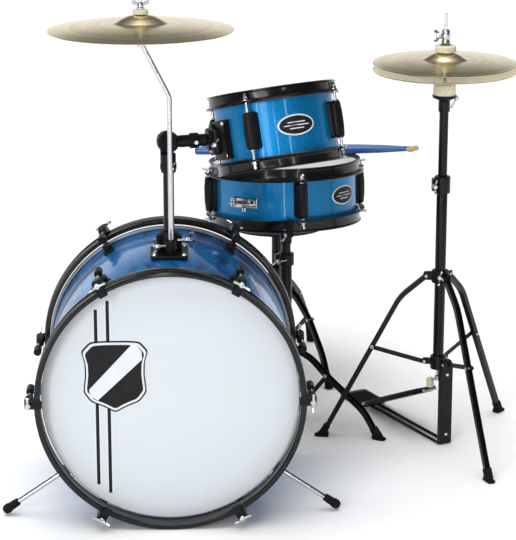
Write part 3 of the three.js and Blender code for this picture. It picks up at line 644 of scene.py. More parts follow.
def ring_tree():
    """Copies one fitting evenly round a circle, each turned to face outward."""
    tree, given, result = new_tree("fittings_in_a_ring", [
        ("Fitting", "NodeSocketObject", None), ("Count", "NodeSocketInt", 6),
        ("Radius", "NodeSocketFloat", 0.1),
        ("Start", "NodeSocketFloat", 0.0), ("Finish", "NodeSocketMaterial", None)])
    circle = tree.nodes.new("GeometryNodeMeshCircle")
    tree.links.new(given.outputs["Count"], circle.inputs["Vertices"])
    tree.links.new(given.outputs["Radius"], circle.inputs["Radius"])
    index = tree.nodes.new("GeometryNodeInputIndex")
    share = tree.nodes.new("ShaderNodeMath")
    share.operation = "DIVIDE"
    tree.links.new(index.outputs[0], share.inputs[0])
    tree.links.new(given.outputs["Count"], share.inputs[1])
    angle = tree.nodes.new("ShaderNodeMath")
    angle.operation = "MULTIPLY"
    angle.inputs[1].default_value = math.tau
    tree.links.new(share.outputs[0], angle.inputs[0])
    spin = tree.nodes.new("ShaderNodeCombineXYZ")
    tree.links.new(angle.outputs[0], spin.inputs["Z"])
    facing = tree.nodes.new("FunctionNodeEulerToRotation")
    tree.links.new(spin.outputs[0], facing.inputs[0])
    fitting = tree.nodes.new("GeometryNodeObjectInfo")
    tree.links.new(given.outputs["Fitting"], fitting.inputs["Object"])
    copies = tree.nodes.new("GeometryNodeInstanceOnPoints")
    tree.links.new(circle.outputs[0], copies.inputs["Points"])
    tree.links.new(fitting.outputs["Geometry"], copies.inputs["Instance"])
    tree.links.new(facing.outputs[0], copies.inputs["Rotation"])
    begin = tree.nodes.new("ShaderNodeCombineXYZ")
    tree.links.new(given.outputs["Start"], begin.inputs["Z"])
    first = tree.nodes.new("FunctionNodeEulerToRotation")
    tree.links.new(begin.outputs[0], first.inputs[0])
    whole = tree.nodes.new("GeometryNodeTransform")
    tree.links.new(copies.outputs[0], whole.inputs["Geometry"])
    tree.links.new(first.outputs[0], whole.inputs["Rotation"])
    return finish_tree(tree, given, result, whole.outputs[0])


def scatter_tree():
    """Puts one fitting on every point, turned by that point's own turn."""
    tree, given, result = new_tree("fittings_on_points", [
        ("Fitting", "NodeSocketObject", None),
        ("Size", "NodeSocketFloat", 1.0),
        ("Finish", "NodeSocketMaterial", None)])
    turned = tree.nodes.new("GeometryNodeInputNamedAttribute")
    turned.data_type = "FLOAT_VECTOR"
    turned.inputs["Name"].default_value = "turn"
    facing = tree.nodes.new("FunctionNodeEulerToRotation")
    tree.links.new(turned.outputs[0], facing.inputs[0])
    fitting = tree.nodes.new("GeometryNodeObjectInfo")
    tree.links.new(given.outputs["Fitting"], fitting.inputs["Object"])
    copies = tree.nodes.new("GeometryNodeInstanceOnPoints")
    tree.links.new(given.outputs["Geometry"], copies.inputs["Points"])
    tree.links.new(fitting.outputs["Geometry"], copies.inputs["Instance"])
    tree.links.new(facing.outputs[0], copies.inputs["Rotation"])
    tree.links.new(given.outputs["Size"], copies.inputs["Scale"])
    return finish_tree(tree, given, result, copies.outputs[0])


def wire_tree():
    """Carries a round wire along a line of points, with eased bends and closed ends."""
    tree, given, result = new_tree("wire_along_a_line", [
        ("Radius", "NodeSocketFloat", 0.004), ("Bend", "NodeSocketFloat", 0.01),
        ("Sides", "NodeSocketInt", 20),
        ("Finish", "NodeSocketMaterial", None)])
    line = tree.nodes.new("GeometryNodeMeshToCurve")
    tree.links.new(given.outputs["Geometry"], line.inputs[0])
    eased = tree.nodes.new("GeometryNodeFilletCurve")
    eased.mode = "POLY"
    eased.inputs["Count"].default_value = 9
    tree.links.new(line.outputs[0], eased.inputs["Curve"])
    tree.links.new(given.outputs["Bend"], eased.inputs["Radius"])
    section = tree.nodes.new("GeometryNodeCurvePrimitiveCircle")
    tree.links.new(given.outputs["Radius"], section.inputs["Radius"])
    tree.links.new(given.outputs["Sides"], section.inputs["Resolution"])
    skin = tree.nodes.new("GeometryNodeCurveToMesh")
    skin.inputs["Fill Caps"].default_value = True
    tree.links.new(eased.outputs[0], skin.inputs["Curve"])
    tree.links.new(section.outputs[0], skin.inputs["Profile Curve"])
    return finish_tree(tree, given, result, skin.outputs[0])


TREES = {}


def grown(kind, source, inputs, place=STILL):
    """Runs one of the trees on a source mesh and returns the plain mesh it grows."""
    builders = {"ring": ring_tree, "scatter": scatter_tree, "wire": wire_tree}
    tree = TREES.setdefault(kind, None) or builders[kind]()
    TREES[kind] = tree
    host = bpy.data.objects.new("growing", source)
    bpy.context.scene.collection.objects.link(host)
    modifier = host.modifiers.new("Grow", "NODES")
    modifier.node_group = tree
    for item in tree.interface.items_tree:
        if item.in_out == "INPUT" and item.name in inputs:
            modifier[item.identifier] = inputs[item.name]
    view = bpy.context.evaluated_depsgraph_get()
    mesh = bpy.data.meshes.new_from_object(host.evaluated_get(view))
    host.modifiers.remove(modifier)
    bpy.data.objects.remove(host)
    if not mesh.polygons:
        raise RuntimeError(f"the {kind} tree made nothing")
    work = bmesh.new()
    work.from_mesh(mesh)
    bmesh.ops.remove_doubles(work, verts=work.verts, dist=1e-7)
    bmesh.ops.recalc_face_normals(work, faces=work.faces)
    work.to_mesh(mesh)
    work.free()
    mesh.transform(place)
    mesh.shade_smooth()
    mesh.set_sharp_from_angle(angle=math.radians(34))
    return mesh


def master(shape, name):
    """A fitting drawn once about its own origin, in metres, for the trees to copy."""
    data = shape.mesh(name, [], Matrix.Scale(0.001, 4))
    sample = bpy.data.objects.new(name, data)
    bpy.context.scene.collection.objects.link(sample)
    return sample


def metres(place):
    """A millimetre placing as the row's own placing in metres."""
    return ROW @ place @ Matrix.Scale(1000, 4)


def ringed(name, shape, count, radius, start, finish, place, body):
    """A ring of one fitting round the Z axis of a frame, with the fitting's X pointing outward."""
    sample = master(shape, name + "_sample")
    mesh = grown("ring", bpy.data.meshes.new(name), {
        "Fitting": sample, "Count": count, "Radius": radius / 1000, "Start": math.radians(start),
        "Finish": FINISH[finish]}, metres(place))
    bpy.data.objects.remove(sample)
    return settle(name, mesh, body)


def scattered(name, shape, spots, finish, body, size=1.0):
    """One fitting put at each placing in a list."""
    sample = master(shape, name + "_sample")
    points = bpy.data.meshes.new(name)
    places = [metres(spot) for spot in spots]
    points.from_pydata([tuple(place.translation) for place in places], [], [])
    turns = points.attributes.new("turn", "FLOAT_VECTOR", "POINT")
    turns.data.foreach_set("vector", [part for place in places for part in place.to_euler()])
    mesh = grown("scatter", points, {"Fitting": sample, "Size": size, "Finish": FINISH[finish]})
    bpy.data.objects.remove(sample)
    return settle(name, mesh, body)


def wire_mesh(points, radius, bend, finish, place=STILL, sides=20):
    line = bpy.data.meshes.new("line")
    line.from_pydata([tuple(ROW @ place @ Vector(p)) for p in points],
                     [(i, i + 1) for i in range(len(points) - 1)], [])
    return grown("wire", line, {
        "Radius": radius / 1000, "Bend": bend / 1000, "Sides": sides, "Finish": FINISH[finish]})


def join_meshes(name, meshes):
    """Several meshes as one, each keeping its finish."""
    whole = bpy.data.meshes.new(name)
    work = bmesh.new()
    for mesh in meshes:
        keys = []
        for finish in mesh.materials:
            if finish.name not in whole.materials:
                whole.materials.append(finish)
            keys.append(whole.materials.find(finish.name))
        before = len(work.faces)
        work.from_mesh(mesh)
        work.faces.ensure_lookup_table()
        for face in work.faces[before:]:
            face.material_index = keys[face.material_index] if keys else 0
    work.to_mesh(whole)
    work.free()
    whole.shade_smooth()
    whole.set_sharp_from_angle(angle=math.radians(34))
    return whole


# ---------------------------------------------------------------- stage
class KIT_OT_stage(bpy.types.Operator):
    """Adds the pale floor, the soft lights and the camera"""
    bl_idname = "kit.stage"
    bl_label = "Stage"

    LAMPS = (
        ("strip_left", (-1.5, -2.5, 0.95), (0.2, 1.9), 14),
        ("strip_middle", (-0.25, -3.9, 0.75), (0.12, 1.6), 7),
        ("strip_right", (1.0, -3.0, 1.0), (0.16, 1.7), 10),
    )
    SUNS = (
        ("top_sun", (-0.3, -0.2, 3.0), 60, 2.5),
        ("front_sun", (-1.6, -3.4, 1.9), 26, 1.0),
    )

    HEIGHTS = ((0.0, (1.1, 1.1, 1.1, 1)), (0.17, (1.0, 1.0, 1.0, 1)), (0.3, (0.42, 0.43, 0.44, 1)),
               (0.4, (0.1, 0.1, 0.105, 1)), (0.75, (0.3, 0.3, 0.31, 1)), (1.0, (1.3, 1.3, 1.3, 1)))
    BEHIND = ((0.0, (0, 0, 0, 1)), (0.3, (1, 1, 1, 1)))
    FRONT = (0.12, 0.125, 0.13, 1)
    BACKDROP = (0.96, 0.96, 0.965, 1)

    @staticmethod
    def ramp(tree, source, stops):
        node = tree.nodes.new("ShaderNodeValToRGB")
        elements = node.color_ramp.elements
        for k, (at, colour) in enumerate(stops):
            stop = elements[k] if k < 2 else elements.new(at)
            stop.position, stop.color = at, colour
        tree.links.new(source, node.inputs[0])
        return node.outputs[0]

    def hang(self, scene, name, light, place):
        lamp = bpy.data.objects.new(name, light)
        lamp.location = place
        lamp.rotation_euler = (Vector((0, 0, 0.4)) - Vector(place)).to_track_quat("-Z", "Y").to_euler()
        scene.collection.objects.link(lamp)

    def sky(self, scene):
        world = bpy.data.worlds.new("studio")
        world.use_nodes = True
        tree = world.node_tree
        where = tree.nodes.new("ShaderNodeTexCoord")
        parts = tree.nodes.new("ShaderNodeSeparateXYZ")
        tree.links.new(where.outputs["Generated"], parts.inputs[0])
        height = self.ramp(tree, parts.outputs["Z"], self.HEIGHTS)
        behind = self.ramp(tree, parts.outputs["Y"], self.BEHIND)
        both = tree.nodes.new("ShaderNodeMix")
        both.data_type = "RGBA"
        tree.links.new(behind, both.inputs[0])
        both.inputs[6].default_value = self.FRONT
        tree.links.new(height, both.inputs[7])
        seen = tree.nodes.new("ShaderNodeMix")
        seen.data_type = "RGBA"
        tree.links.new(tree.nodes.new("ShaderNodeLightPath").outputs["Is Camera Ray"], seen.inputs[0])
        tree.links.new(both.outputs[2], seen.inputs[6])
        seen.inputs[7].default_value = self.BACKDROP
        tree.links.new(seen.outputs[2], tree.nodes["Background"].inputs["Color"])
        tree.nodes["Background"].inputs["Strength"].default_value = 1.0
        scene.world = world
        scene.view_settings.view_transform = "Standard"

    def execute(self, context):
        scene = context.scene
        for old in [o for o in bpy.data.objects if o.type in {"LIGHT", "CAMERA"}]:
            bpy.data.objects.remove(old)
        floor = bpy.data.meshes.new("studio_floor")
        floor.from_pydata([(-9, -9, 0), (9, -9, 0), (9, 9, 0), (-9, 9, 0)], [], [(0, 1, 2, 3)])
        floor.materials.append(studio_floor())
        ground = bpy.data.objects.new("studio_floor", floor)
        scene.collection.objects.link(ground)

        self.sky(scene)
        for name, place, size, power in self.LAMPS:
            light = bpy.data.lights.new(name, "AREA")
            light.shape = "RECTANGLE"
            light.size, light.size_y = size
            light.energy = power
            self.hang(scene, name, light, place)
        for name, place, spread, strength in self.SUNS:
            light = bpy.data.lights.new(name, "SUN")
            light.angle = math.radians(spread)
            light.energy = strength
            self.hang(scene, name, light, place)

        lens = bpy.data.cameras.new("camera")
        lens.sensor_fit = "AUTO"
        lens.sensor_width = 36
        lens.lens = 36 * 2186.549 / 540
        lens.clip_end = 60
        camera = bpy.data.objects.new("camera", lens)
        camera.location = ROW @ Vector((7.994, -3294.83, 1388.24))
        camera.rotation_euler = (math.radians(90 - 16.085), 0, math.radians(-2.279))
        scene.collection.objects.link(camera)
        scene.camera = camera
        return {"FINISHED"}


class KIT_OT_finishes(bpy.types.Operator):
    """Mixes every paint, plating, wrap and film"""
    bl_idname = "kit.finishes"
    bl_label = "Finishes"

    def execute(self, context):
        mix_finishes(context.scene.kit_colours)
        return {"FINISHED"}


# ---------------------------------------------------------------- bass drum
class KIT_OT_bass_shell(bpy.types.Operator):
    """Builds the bass drum's wrapped shell, hoops and heads"""
    bl_idname = "kit.bass_shell"
    bl_label = "Bass drum shell and hoops"

    def execute(self, context):
        edge = BASS["recess"] + 1.4
        far = BASS["depth"] - edge
        outer, inner = BASS["shell"], BASS["shell"] - BASS["wall"]
        shell = Shape().turned(
            rounded([(inner, edge), (outer, edge), (outer, far), (inner, far)], 1.2, 2, closed=True),
            0, BASS_FRAME, 200)
        shell.make("bass_shell_wrapped", "bass_drum", ["bass_wrap"], "bass_wrap", ["bass_shell"])
        for end, place in (("front", BASS_FRAME), ("back", BASS_BACK)):
            self.hoop(end, place)
            self.head(end, place)
        return {"FINISHED"}

    def hoop(self, end, place):
        """Two rounded beads with a hollow channel between them."""
        wide, out = BASS["width"], BASS["hoop"]
        inner = out - BASS["band"]
        channel = [(out - 3.4 * math.sin(math.pi * t) ** 0.8, 6.5 + (wide - 13) * t) for t in
                   [i / 8 for i in range(9)]]
        section = [(inner, 1.5), (inner + 1.5, 0), (out - 2.4, 0), (out - 0.6, 0.9), (out, 3.2)] + channel + [
            (out, wide - 3.2), (out - 0.6, wide - 0.9), (out - 2.4, wide), (inner + 1.5, wide),
            (inner, wide - 1.5)]
        Shape().turned(section, 0, place, 200).make(
            f"bass_{end}_hoop_rolled", "bass_drum", ["gloss_black"], "hoop_black", [f"bass_{end}_hoop"])

    def head(self, end, place):
        """A film drawn over a rounded collar, with its flesh hoop tucked inside the drum hoop."""
        film, low = BASS["recess"], BASS["width"] + 12
        rim = BASS["hoop"] - BASS["band"] - 0.6
        skin = [(0, film), (rim - 5.2, film), (rim - 2.0, film + 0.7), (rim - 0.5, film + 2.4),
                (rim, film + 5),
                (rim, low - 1), (rim - 1, low), (BASS["shell"] + 1.2, low), (BASS["shell"] + 0.4, low - 1),
                (BASS["shell"] + 0.4, film + 1.1), (0, film + 1.1)]
        finish = "front_film" if end == "front" else "drum_film"
        head = Shape().turned(skin, 0, place, 160)
        for i, face in enumerate(head.faces):
            depth = sum((place.inverted() @ head.points[k]).z for k in face) / len(face)
            head.slots[i] = 1 if depth > film + 4 else 0
        head.make(
            f"bass_{end}_head_film", "bass_drum", [finish, "flesh_hoop"],
            "front_head" if end == "front" else "drum_head", [f"bass_{end}_head"])


class KIT_OT_front_print(bpy.types.Operator):
    """Lays the plain stripes and blank shield on the front head"""
    bl_idname = "kit.front_print"
    bl_label = "Front head print"

    SHIELD = [(-39.4, 59), (-20, 60.5), (0, 60.5), (20, 60.5), (40.5, 59), (53.8, 43.5), (48.3, 24.4),
              (47.6, 3.7),
              (51, -25.8), (39, -42), (19, -50), (0, -60.5), (-19, -50), (-39, -42), (-51, -25.8),
              (-47.6, 3.7),
              (-48.3, 24.4), (-53.8, 43.5)]

    def execute(self, context):
        upright = move(0, BASS["recess"], AXIS_Z) @ turn(90, "X")
        black, white = Shape(), Shape()
        for x, low, high in ((-118.1, -147, 149.5), (-99.2, -162, 164)):
            place = upright @ move(x, 0, 0)
            black.slab([(-2.7, low), (2.7, low), (2.7, high), (-2.7, high)], 0.02, 0.14, 0.03, 0, place)
            for side in (-1, 1):
                white.slab([(side * 3.9 - 1, low), (side * 3.9 + 1, low), (side * 3.9 + 1, high),
                            (side * 3.9 - 1, high)], 0.02, 0.1, 0.02, 0, place)
        shield_at = upright @ move(-89, 36.5, 0)
        smooth = rounded(self.SHIELD, 5, 3, closed=True)
        black.slab(smooth, 0.1, 0.34, 0.05, 0, shield_at)
        white.slab([(x * 0.955, y * 0.955) for x, y in smooth], 0.3, 0.42, 0.03, 0, shield_at)
        black.slab([(x * 0.89, y * 0.89) for x, y in smooth], 0.4, 0.5, 0.03, 0, shield_at)
        band = [(-41.5, -21), (-40, -32), (-28, -39.5), (44, 29), (43.2, 42), (35, 53), (27, 53.5)]
        white.slab(band, 0.48, 0.58, 0.03, 0, shield_at)
        black.make("front_print_black", "bass_drum", ["ink_black"], "front_head")
        white.make("front_print_white", "bass_drum", ["ink_white"], "front_head")
        return {"FINISHED"}


class KIT_OT_bass_fittings(bpy.types.Operator):
    """Rings each end of the bass drum with claws, tension rods, wing handles and lugs"""
    bl_idname = "kit.bass_fittings"
    bl_label = "Bass drum claws and lugs"

    def execute(self, context):
        count = context.scene.kit_sizes.claw_count
        rod = context.scene.kit_sizes.tension_rod * 1000
        out = BASS["hoop"]
        reach = out + 9
        claw = Shape()
        hook = [(-13, -2.6), (out * 0 + 4, -3.4), (14, -2.4), (15.5, 6), (13.5, 26), (6, 31), (1.6, 29),
                (1.4, 1.2),
                (-9, 0.4), (-13, 0.4)]
        rise = Matrix(((1, 0, 0, 0), (0, 0, 1, 0), (0, 1, 0, 0), (0, 0, 0, 1)))
        claw.slab(rounded(hook, 1.6, 2, closed=True), -7.5, 7.5, 1.6, 0, rise)
        claw.rod(5.2, (9, 0, -4.2), (9, 0, 27), 0, ease=1.2)
        lug = Shape()
        outline = rounded([(-9, -17), (9, -17), (9, 17), (-9, 17)], 7, 4, closed=True)
        stand = Matrix(((0, 0, 1, 0), (1, 0, 0, 0), (0, 1, 0, 0), (0, 0, 0, 1)))
        lug.slab(outline, -1.5, 4.5, 1.2, 0, stand)
        lug.slab(rounded([(-6.5, -14), (6.5, -14), (6.5, 14), (-6.5, 14)], 5, 4, closed=True), 3, 15, 3.2, 0,
                 stand)
        lug.rod(6.6, (reach - BASS["shell"], 0, -15.5), (reach - BASS["shell"], 0, 9), 0, ease=1.6)
        bolt = Shape()
        bolt.rod(rod, (0, 0, -8), (0, 0, 56), sides=16)
        bolt.rod(4.6, (0, 0, -9.5), (0, 0, -4.4), sides=20)
        bolt.swept([(0, -14.5, -13.5), (0, -8, -10.5), (0, 0, -9.6), (0, 8, -10.5), (0, 14.5, -13.5)],
                   rectangle(3.4, 4.2, 1.4, 2), across=(1, 0, 0))
        for end, base in (("front", BASS_FRAME), ("back", BASS_BACK)):
            ringed(f"bass_{end}_claws", claw, count, out, 0, "cast_black", base, "bass_drum")
            ringed(f"bass_{end}_lugs", lug, count, BASS["shell"], 0, "cast_black",
                   base @ move(0, 0, 76), "bass_drum")
            ringed(f"bass_{end}_tension_rods", bolt, count, reach, 0, "chrome", base, "bass_drum")
        return {"FINISHED"}


class KIT_OT_spurs(bpy.types.Operator):
    """Builds the two spur legs, their rubber tips and their clamps"""
    bl_idname = "kit.spurs"
    bl_label = "Spurs"

    def execute(self, context):
        for side, name in ((-1, "spur_left"), (1, "spur_right")):
            drop, angle = math.radians(34.5), math.radians(39.4)
            way = Vector((side * math.cos(drop), 0, -math.sin(drop)))
            root = Vector((side * BASS["shell"] * math.cos(angle), 75,
                           AXIS_Z - BASS["shell"] * math.sin(angle)))
            reach = (root.z - 8 * math.cos(drop)) / math.sin(drop)
            rod = wire_mesh([root - way * 33, root + way * (reach - 24)], 4.2, 1, "chrome", sides=28)
            tip = Shape()
            spin = Matrix.Translation(root) @ way.to_track_quat("Z", "Y").to_matrix().to_4x4()
            tip.turned([(0, reach - 31), (5.2, reach - 31), (6.4, reach - 29), (7, reach - 14),
                        (8, reach - 12),
                        (8, reach - 7), (6.8, reach - 3), (4.5, reach - 0.8), (0, reach)], 0, spin, 40)
            whole = join_meshes(name + "_rod", [rod, tip.mesh(name + "_tip", ["rubber"])])
            settle(name + "_leg", whole, "spur_" + name[5:], [name])
            clamp = Shape()
            clamp.block((26, 24, 8), (0, 0, 1), 1.6, 0, spin, 5)
            clamp.rod(9.2, (0, 0, 0), (0, 0, 27), 0, spin, 32, 2)
            clamp.rod(3, (0, 0, 17), (0, -17, 17), 1, spin, 16)
            clamp.swept([(0, -16, 6), (0, -18, 11), (0, -18, 23), (0, -16, 28)], rectangle(2.6, 5.4, 1.2, 2),
                        1, spin,
                        (1, 0, 0))
            for x in (-10, 10):
                clamp.rod(2.6, (x, 0, 4), (x, 0, 7), 1, spin, 16)
            clamp.make(name + "_clamp", "bass_drum", ["cast_black", "chrome"], "bracket_black")
        return {"FINISHED"}


def wing_nut(shape, place, finish=1, span=13):
    """A hub with two raised wings, its axis along the frame's Z."""
    shape.turned([(0, -1), (4.6, -1), (5, 0), (4.2, 6), (3, 8), (0, 8)], finish, place, 24)
    for side in (-1, 1):
        wing = [(side * 2.5, 0.5), (side * span, 5.5), (side * (span + 1), 10.5), (side * (span - 2.5), 12),
                (side * 3.4, 6.5)]
        shape.slab(rounded(wing, 2, 3, closed=True), -1.3, 1.3, 0.5, finish, place @ turn(90, "X"))
    return shape


class KIT_OT_tom_mount(bpy.types.Operator):
    """Builds the holder on the bass drum, the tom post, its tilting knuckle, arm and bracket"""
    bl_idname = "kit.tom_mount"
    bl_label = "Tom mount"

    def execute(self, context):
        base = move(0, 0, HOLDER_Z)
        holder = Shape()
        holder.block((62, 74, 5), (0, 155, 3.4), 1.2, 0, base, 7)
        for x in (-24, 24):
            holder.block((12, 60, 5), (x, 155, 0.6), 1, 0, base, 3)
        for x, y in ((-24, 127), (24, 127), (-24, 183), (24, 183)):
            holder.turned([(0, 4), (5, 4), (5, 6.6), (3.4, 8.4), (0, 8.8)], 1, base @ move(x, y, 0), 20)
        holder.turned(rounded([(9.3, 4), (15, 4), (15, 36), (9.3, 36)], 1.4, 2, closed=True), 0,
                      base @ move(0, POST_Y, 0), 48)
        holder.turned(rounded([(4.5, 4), (9, 4), (9, 28), (4.5, 28)], 1, 2, closed=True), 0,
                      base @ move(ROD_X, ROD_Y, 0), 36)
        holder.block((10, 14, 26), (16, POST_Y - 3, 18), 1.2, 0, base)
        holder.block((10, 14, 26), (-16, POST_Y - 3, 18), 1.2, 0, base)
        holder.rod(3, (13, POST_Y - 8, 22), (36, POST_Y - 8, 22), 1, base, 16)
        wing_nut(holder, base @ move(29, POST_Y - 8, 22) @ turn(90, "Y"))
        holder.rod(2.8, (4, ROD_Y, 18), (-22, ROD_Y - 4, 18), 1, base, 16)
        wing_nut(holder, base @ move(-16, ROD_Y - 4, 18) @ turn(-90, "Y"))
        holder.make("holder_casting", "bass_drum", ["cast_black", "chrome"], "bracket_black",
                    ["tom_crash_holder"])

        post = Shape().rod(8.8, (0, POST_Y, HOLDER_Z - 62), (0, POST_Y, 584), 0, STILL, 48, 1.5)
        post.make("tom_post_tube", "tom_post", ["tube_black"], "tube_black", ["tom_post"])

        arm = ARM_FRAME
        knuckle = Shape()
        knuckle.turned(rounded([(9.2, -50), (12.4, -50), (12.4, -19), (9.2, -19)], 1.2, 2, closed=True), 0,
                       arm, 40)
        knuckle.turned([(9.2, -44), (13.6, -44), (13.6, -36), (9.2, -36)], 0, arm, 40)
        knuckle.rod(17, (0, 6.3, 0), (0, 12.3, 0), 0, arm, 48, 1.2)
        knuckle.block((22, 6, 40), (0, 9.3, -25), 1, 0, arm, 2.5)
        knuckle.rod(3.2, (0, 12, 0), (0, 22, 0), 1, arm, 20)
        wing_nut(knuckle, arm @ move(0, 16, 0) @ turn(-90, "X") @ turn(30, "Z"))
        knuckle.rod(2.8, (0, -8, -40), (0, -24, -40), 1, arm, 16)
        wing_nut(knuckle, arm @ move(0, -17, -40) @ turn(90, "X") @ turn(70, "Z"))
        knuckle.make("tom_knuckle_cast", "tom_knuckle", ["cast_black", "chrome"], "bracket_black",
                     ["tom_knuckle"])

        bar = Shape()
        bar.rod(18, (0, -6, 0), (0, 6, 0), 0, arm, 56, 1.5)
        bar.rod(11, (0, -9.5, 0), (0, -5, 0), 0, arm, 40, 1.2)
        bar.rod(4.4, (0, -12.4, 0), (0, -9, 0), 1, arm, 6, 0.6)
        bar.rod(9.6, (12, 0, 0), (30, 0, 0), 0, arm, 36, 1)
        bar.rod(10, (19, 0, 0), (64, 0, 0), 0, arm, 48, 1.2)
        bar.turned(rounded([(9.6, 36), (12.6, 36), (12.6, 50), (9.6, 50)], 1.4, 2, closed=True), 0,
                   arm @ turn(90, "Y"), 40)
        bar.rod(2.2, (43, -11, 0), (43, -17, 0), 1, arm, 16)
        bar.rod(3.6, (43, -15.4, 0), (43, -18.2, 0), 1, arm, 20)
        bar.rod(7, (62, 0, 0), (75, 0, 0), 0, arm, 32)
        bar.make("tom_arm_bar", "tom_arm", ["cast_black", "chrome"], "bracket_black", ["tom_arm"])

        bracket = Shape()
        facing = arm @ turn(90, "Y") @ turn(90, "Z")
        bracket.slab(rectangle(30, 34, 7, 4), 64.6, 78, 2, 0, facing)
        bracket.slab(rectangle(22, 50, 6, 4), 70, 80, 2, 0, facing)
        curve = TOM_FRAME @ move(0, 0, -6) @ turn(-173, "Z")
        bracket.curved(98, 103.4, 18, -33, 31, 0, curve)
        bracket.curved(103, 106.2, 15.5, -29, 27, 0, curve)
        bracket.block((13, 34, 44), (108, -8, -1), 3, 0, curve, 6)
        for z, y in ((-27, 24), (-27, -24), (25, 24), (25, -24)):
            spin = curve @ turn(math.degrees(y / 103), "Z")
            bracket.rod(3.6, (103, 0, z), (107, 0, z), 1, spin, 20)
        bracket.rod(2.8, (71, -13, -4), (71, -25, -4), 1, arm, 16)
        wing_nut(bracket, arm @ move(71, -19, -4) @ turn(90, "X") @ turn(60, "Z"))
        bracket.make("tom_bracket_cast", "tom", ["cast_black", "chrome"], "bracket_black", ["tom_bracket"])
        return {"FINISHED"}


# ---------------------------------------------------------------- tom and snare
def small_drum(name, body, sizes, frame_at, lugs_at, badge_at):
    """Shell, two heads, two triple-flanged hoops and an oval badge with its vent."""
    r, half, flange = sizes["shell"], sizes["half"], sizes["flange"]
    edge = half - HOOP_STAND
    Shape().turned([(r - 5, -edge + 1), (r - 4, -edge), (r - 0.8, -edge), (r, -edge + 0.8), (r, edge - 0.8),
                    (r - 0.8, edge), (r - 4, edge), (r - 5, edge - 1)], 0, frame_at, 160).make(
        name + "_shell_wrapped", body, ["drum_wrap"], "drum_wrap", [name + "_shell"])
    for side, up in (("top", 1), ("bottom", -1)):
        film = edge + PLAY
        skin = [(0, film), (r + PLAY, film), (r + PLAY, edge - 9), (r + 3.3, edge - 9), (r + 3.3, film - 1),
                (r + 2.2, film + 0.9), (r - 1, film + 1.1), (r - 6, film + 0.9), (0, film + 0.9)]
        Shape().turned([(a, b * up) for a, b in skin], 0, frame_at, 128).make(
            f"{name}_{side}_head_film", body, ["drum_film"], "drum_head", [f"{name}_{side}_head"])
        inner = r + HEAD_RING + 0.9
        out = inner + flange
        h = sizes["hoop"]
        profile = [(inner, half - 1), (inner + 1, half), (inner + 3.4, half + 0.2), (inner + 4.8, half - 0.8),
                   (inner + 5, half - 2.2), (inner + 3.6, half - 2.6), (inner + 2.5, half - 3.8),
                   (inner + 2.4, half - h + 8), (inner + 3.2, half - h + 5.2), (out - 2, half - h + 3.4),
                   (out - 0.6, half - h + 2.6), (out, half - h + 1.2), (out - 0.8, half - h),
                   (out - 3, half - h + 0.8),
                   (inner + 1.6, half - h + 2.8), (inner, half - h + 4)]
        hoop = Shape().turned([(a, b * up) for a, b in profile], 0, frame_at, 144)
        for k in range(4):
            ear = frame_at @ turn(lugs_at + 90 * k, "Z") @ move(0, 0, up * (half - h + 3.6))
            hoop.block((flange + 3, 22, 3.2), (inner + 1 + flange / 2, 0, 0), 1, 0, ear, 6)
        hoop.make(f"{name}_{side}_hoop_pressed", body, ["gloss_black"], "hoop_black", [f"{name}_{side}_hoop"])

    badge = Shape()
    at = frame_at @ turn(badge_at, "Z") @ move(r, 0, 0)
    facing = at @ turn(90, "Y") @ turn(90, "Z")
    for width, height, low, high, finish in ((31, 17, -0.4, 1.1, 1), (28.6, 14.6, 0.9, 1.5, 0)):
        rim = oval(width, height, 56)
        rows = [rim] + [[(x * share, y * share) for x, y in rim] for share in (0.8, 0.55, 0.3)]
        count = len(rim)
        points = [(x, y, low) for x, y in rim] + [(x, y, high - 0.3) for x, y in rim]
        points += [(x * 0.985, y * 0.985, high) for x, y in rim]
        points += [(x, y, high) for row in rows[1:] for x, y in row] + [(0, 0, high), (0, 0, low)]
        faces = []
        for level in range(5):
            for i in range(count):
                n = (i + 1) % count
                faces.append((level * count + i, level * count + n, (level + 1) * count + n,
                              (level + 1) * count + i))
        for i in range(count):
            n = (i + 1) % count
            faces += [(5 * count + i, 5 * count + n, 6 * count), (i, n, 6 * count + 1)]
        badge.add(points, faces, finish, facing)
    for y, half_width in ((4.4, 15), (-0.6, 21), (-5.6, 12)):
        bar = [(-half_width + 2 * half_width * i / 8, y - 0.8) for i in range(9)]
        badge.slab(bar + [(x, y + 0.8) for x, _ in bar[::-1]], 1.3, 1.7, 0.1, 1, facing)
    bow_points = []
    for p in badge.points:
        near = (frame_at @ turn(badge_at, "Z")).inverted() @ p
        bow_points.append(frame_at @ turn(badge_at,
                                          "Z") @ Vector((near.x - near.y ** 2 / (2 * r), near.y, near.z)))
    badge.points = bow_points
    badge.make(name + "_badge", body, ["ink_black", "ink_white"], "bracket_black")


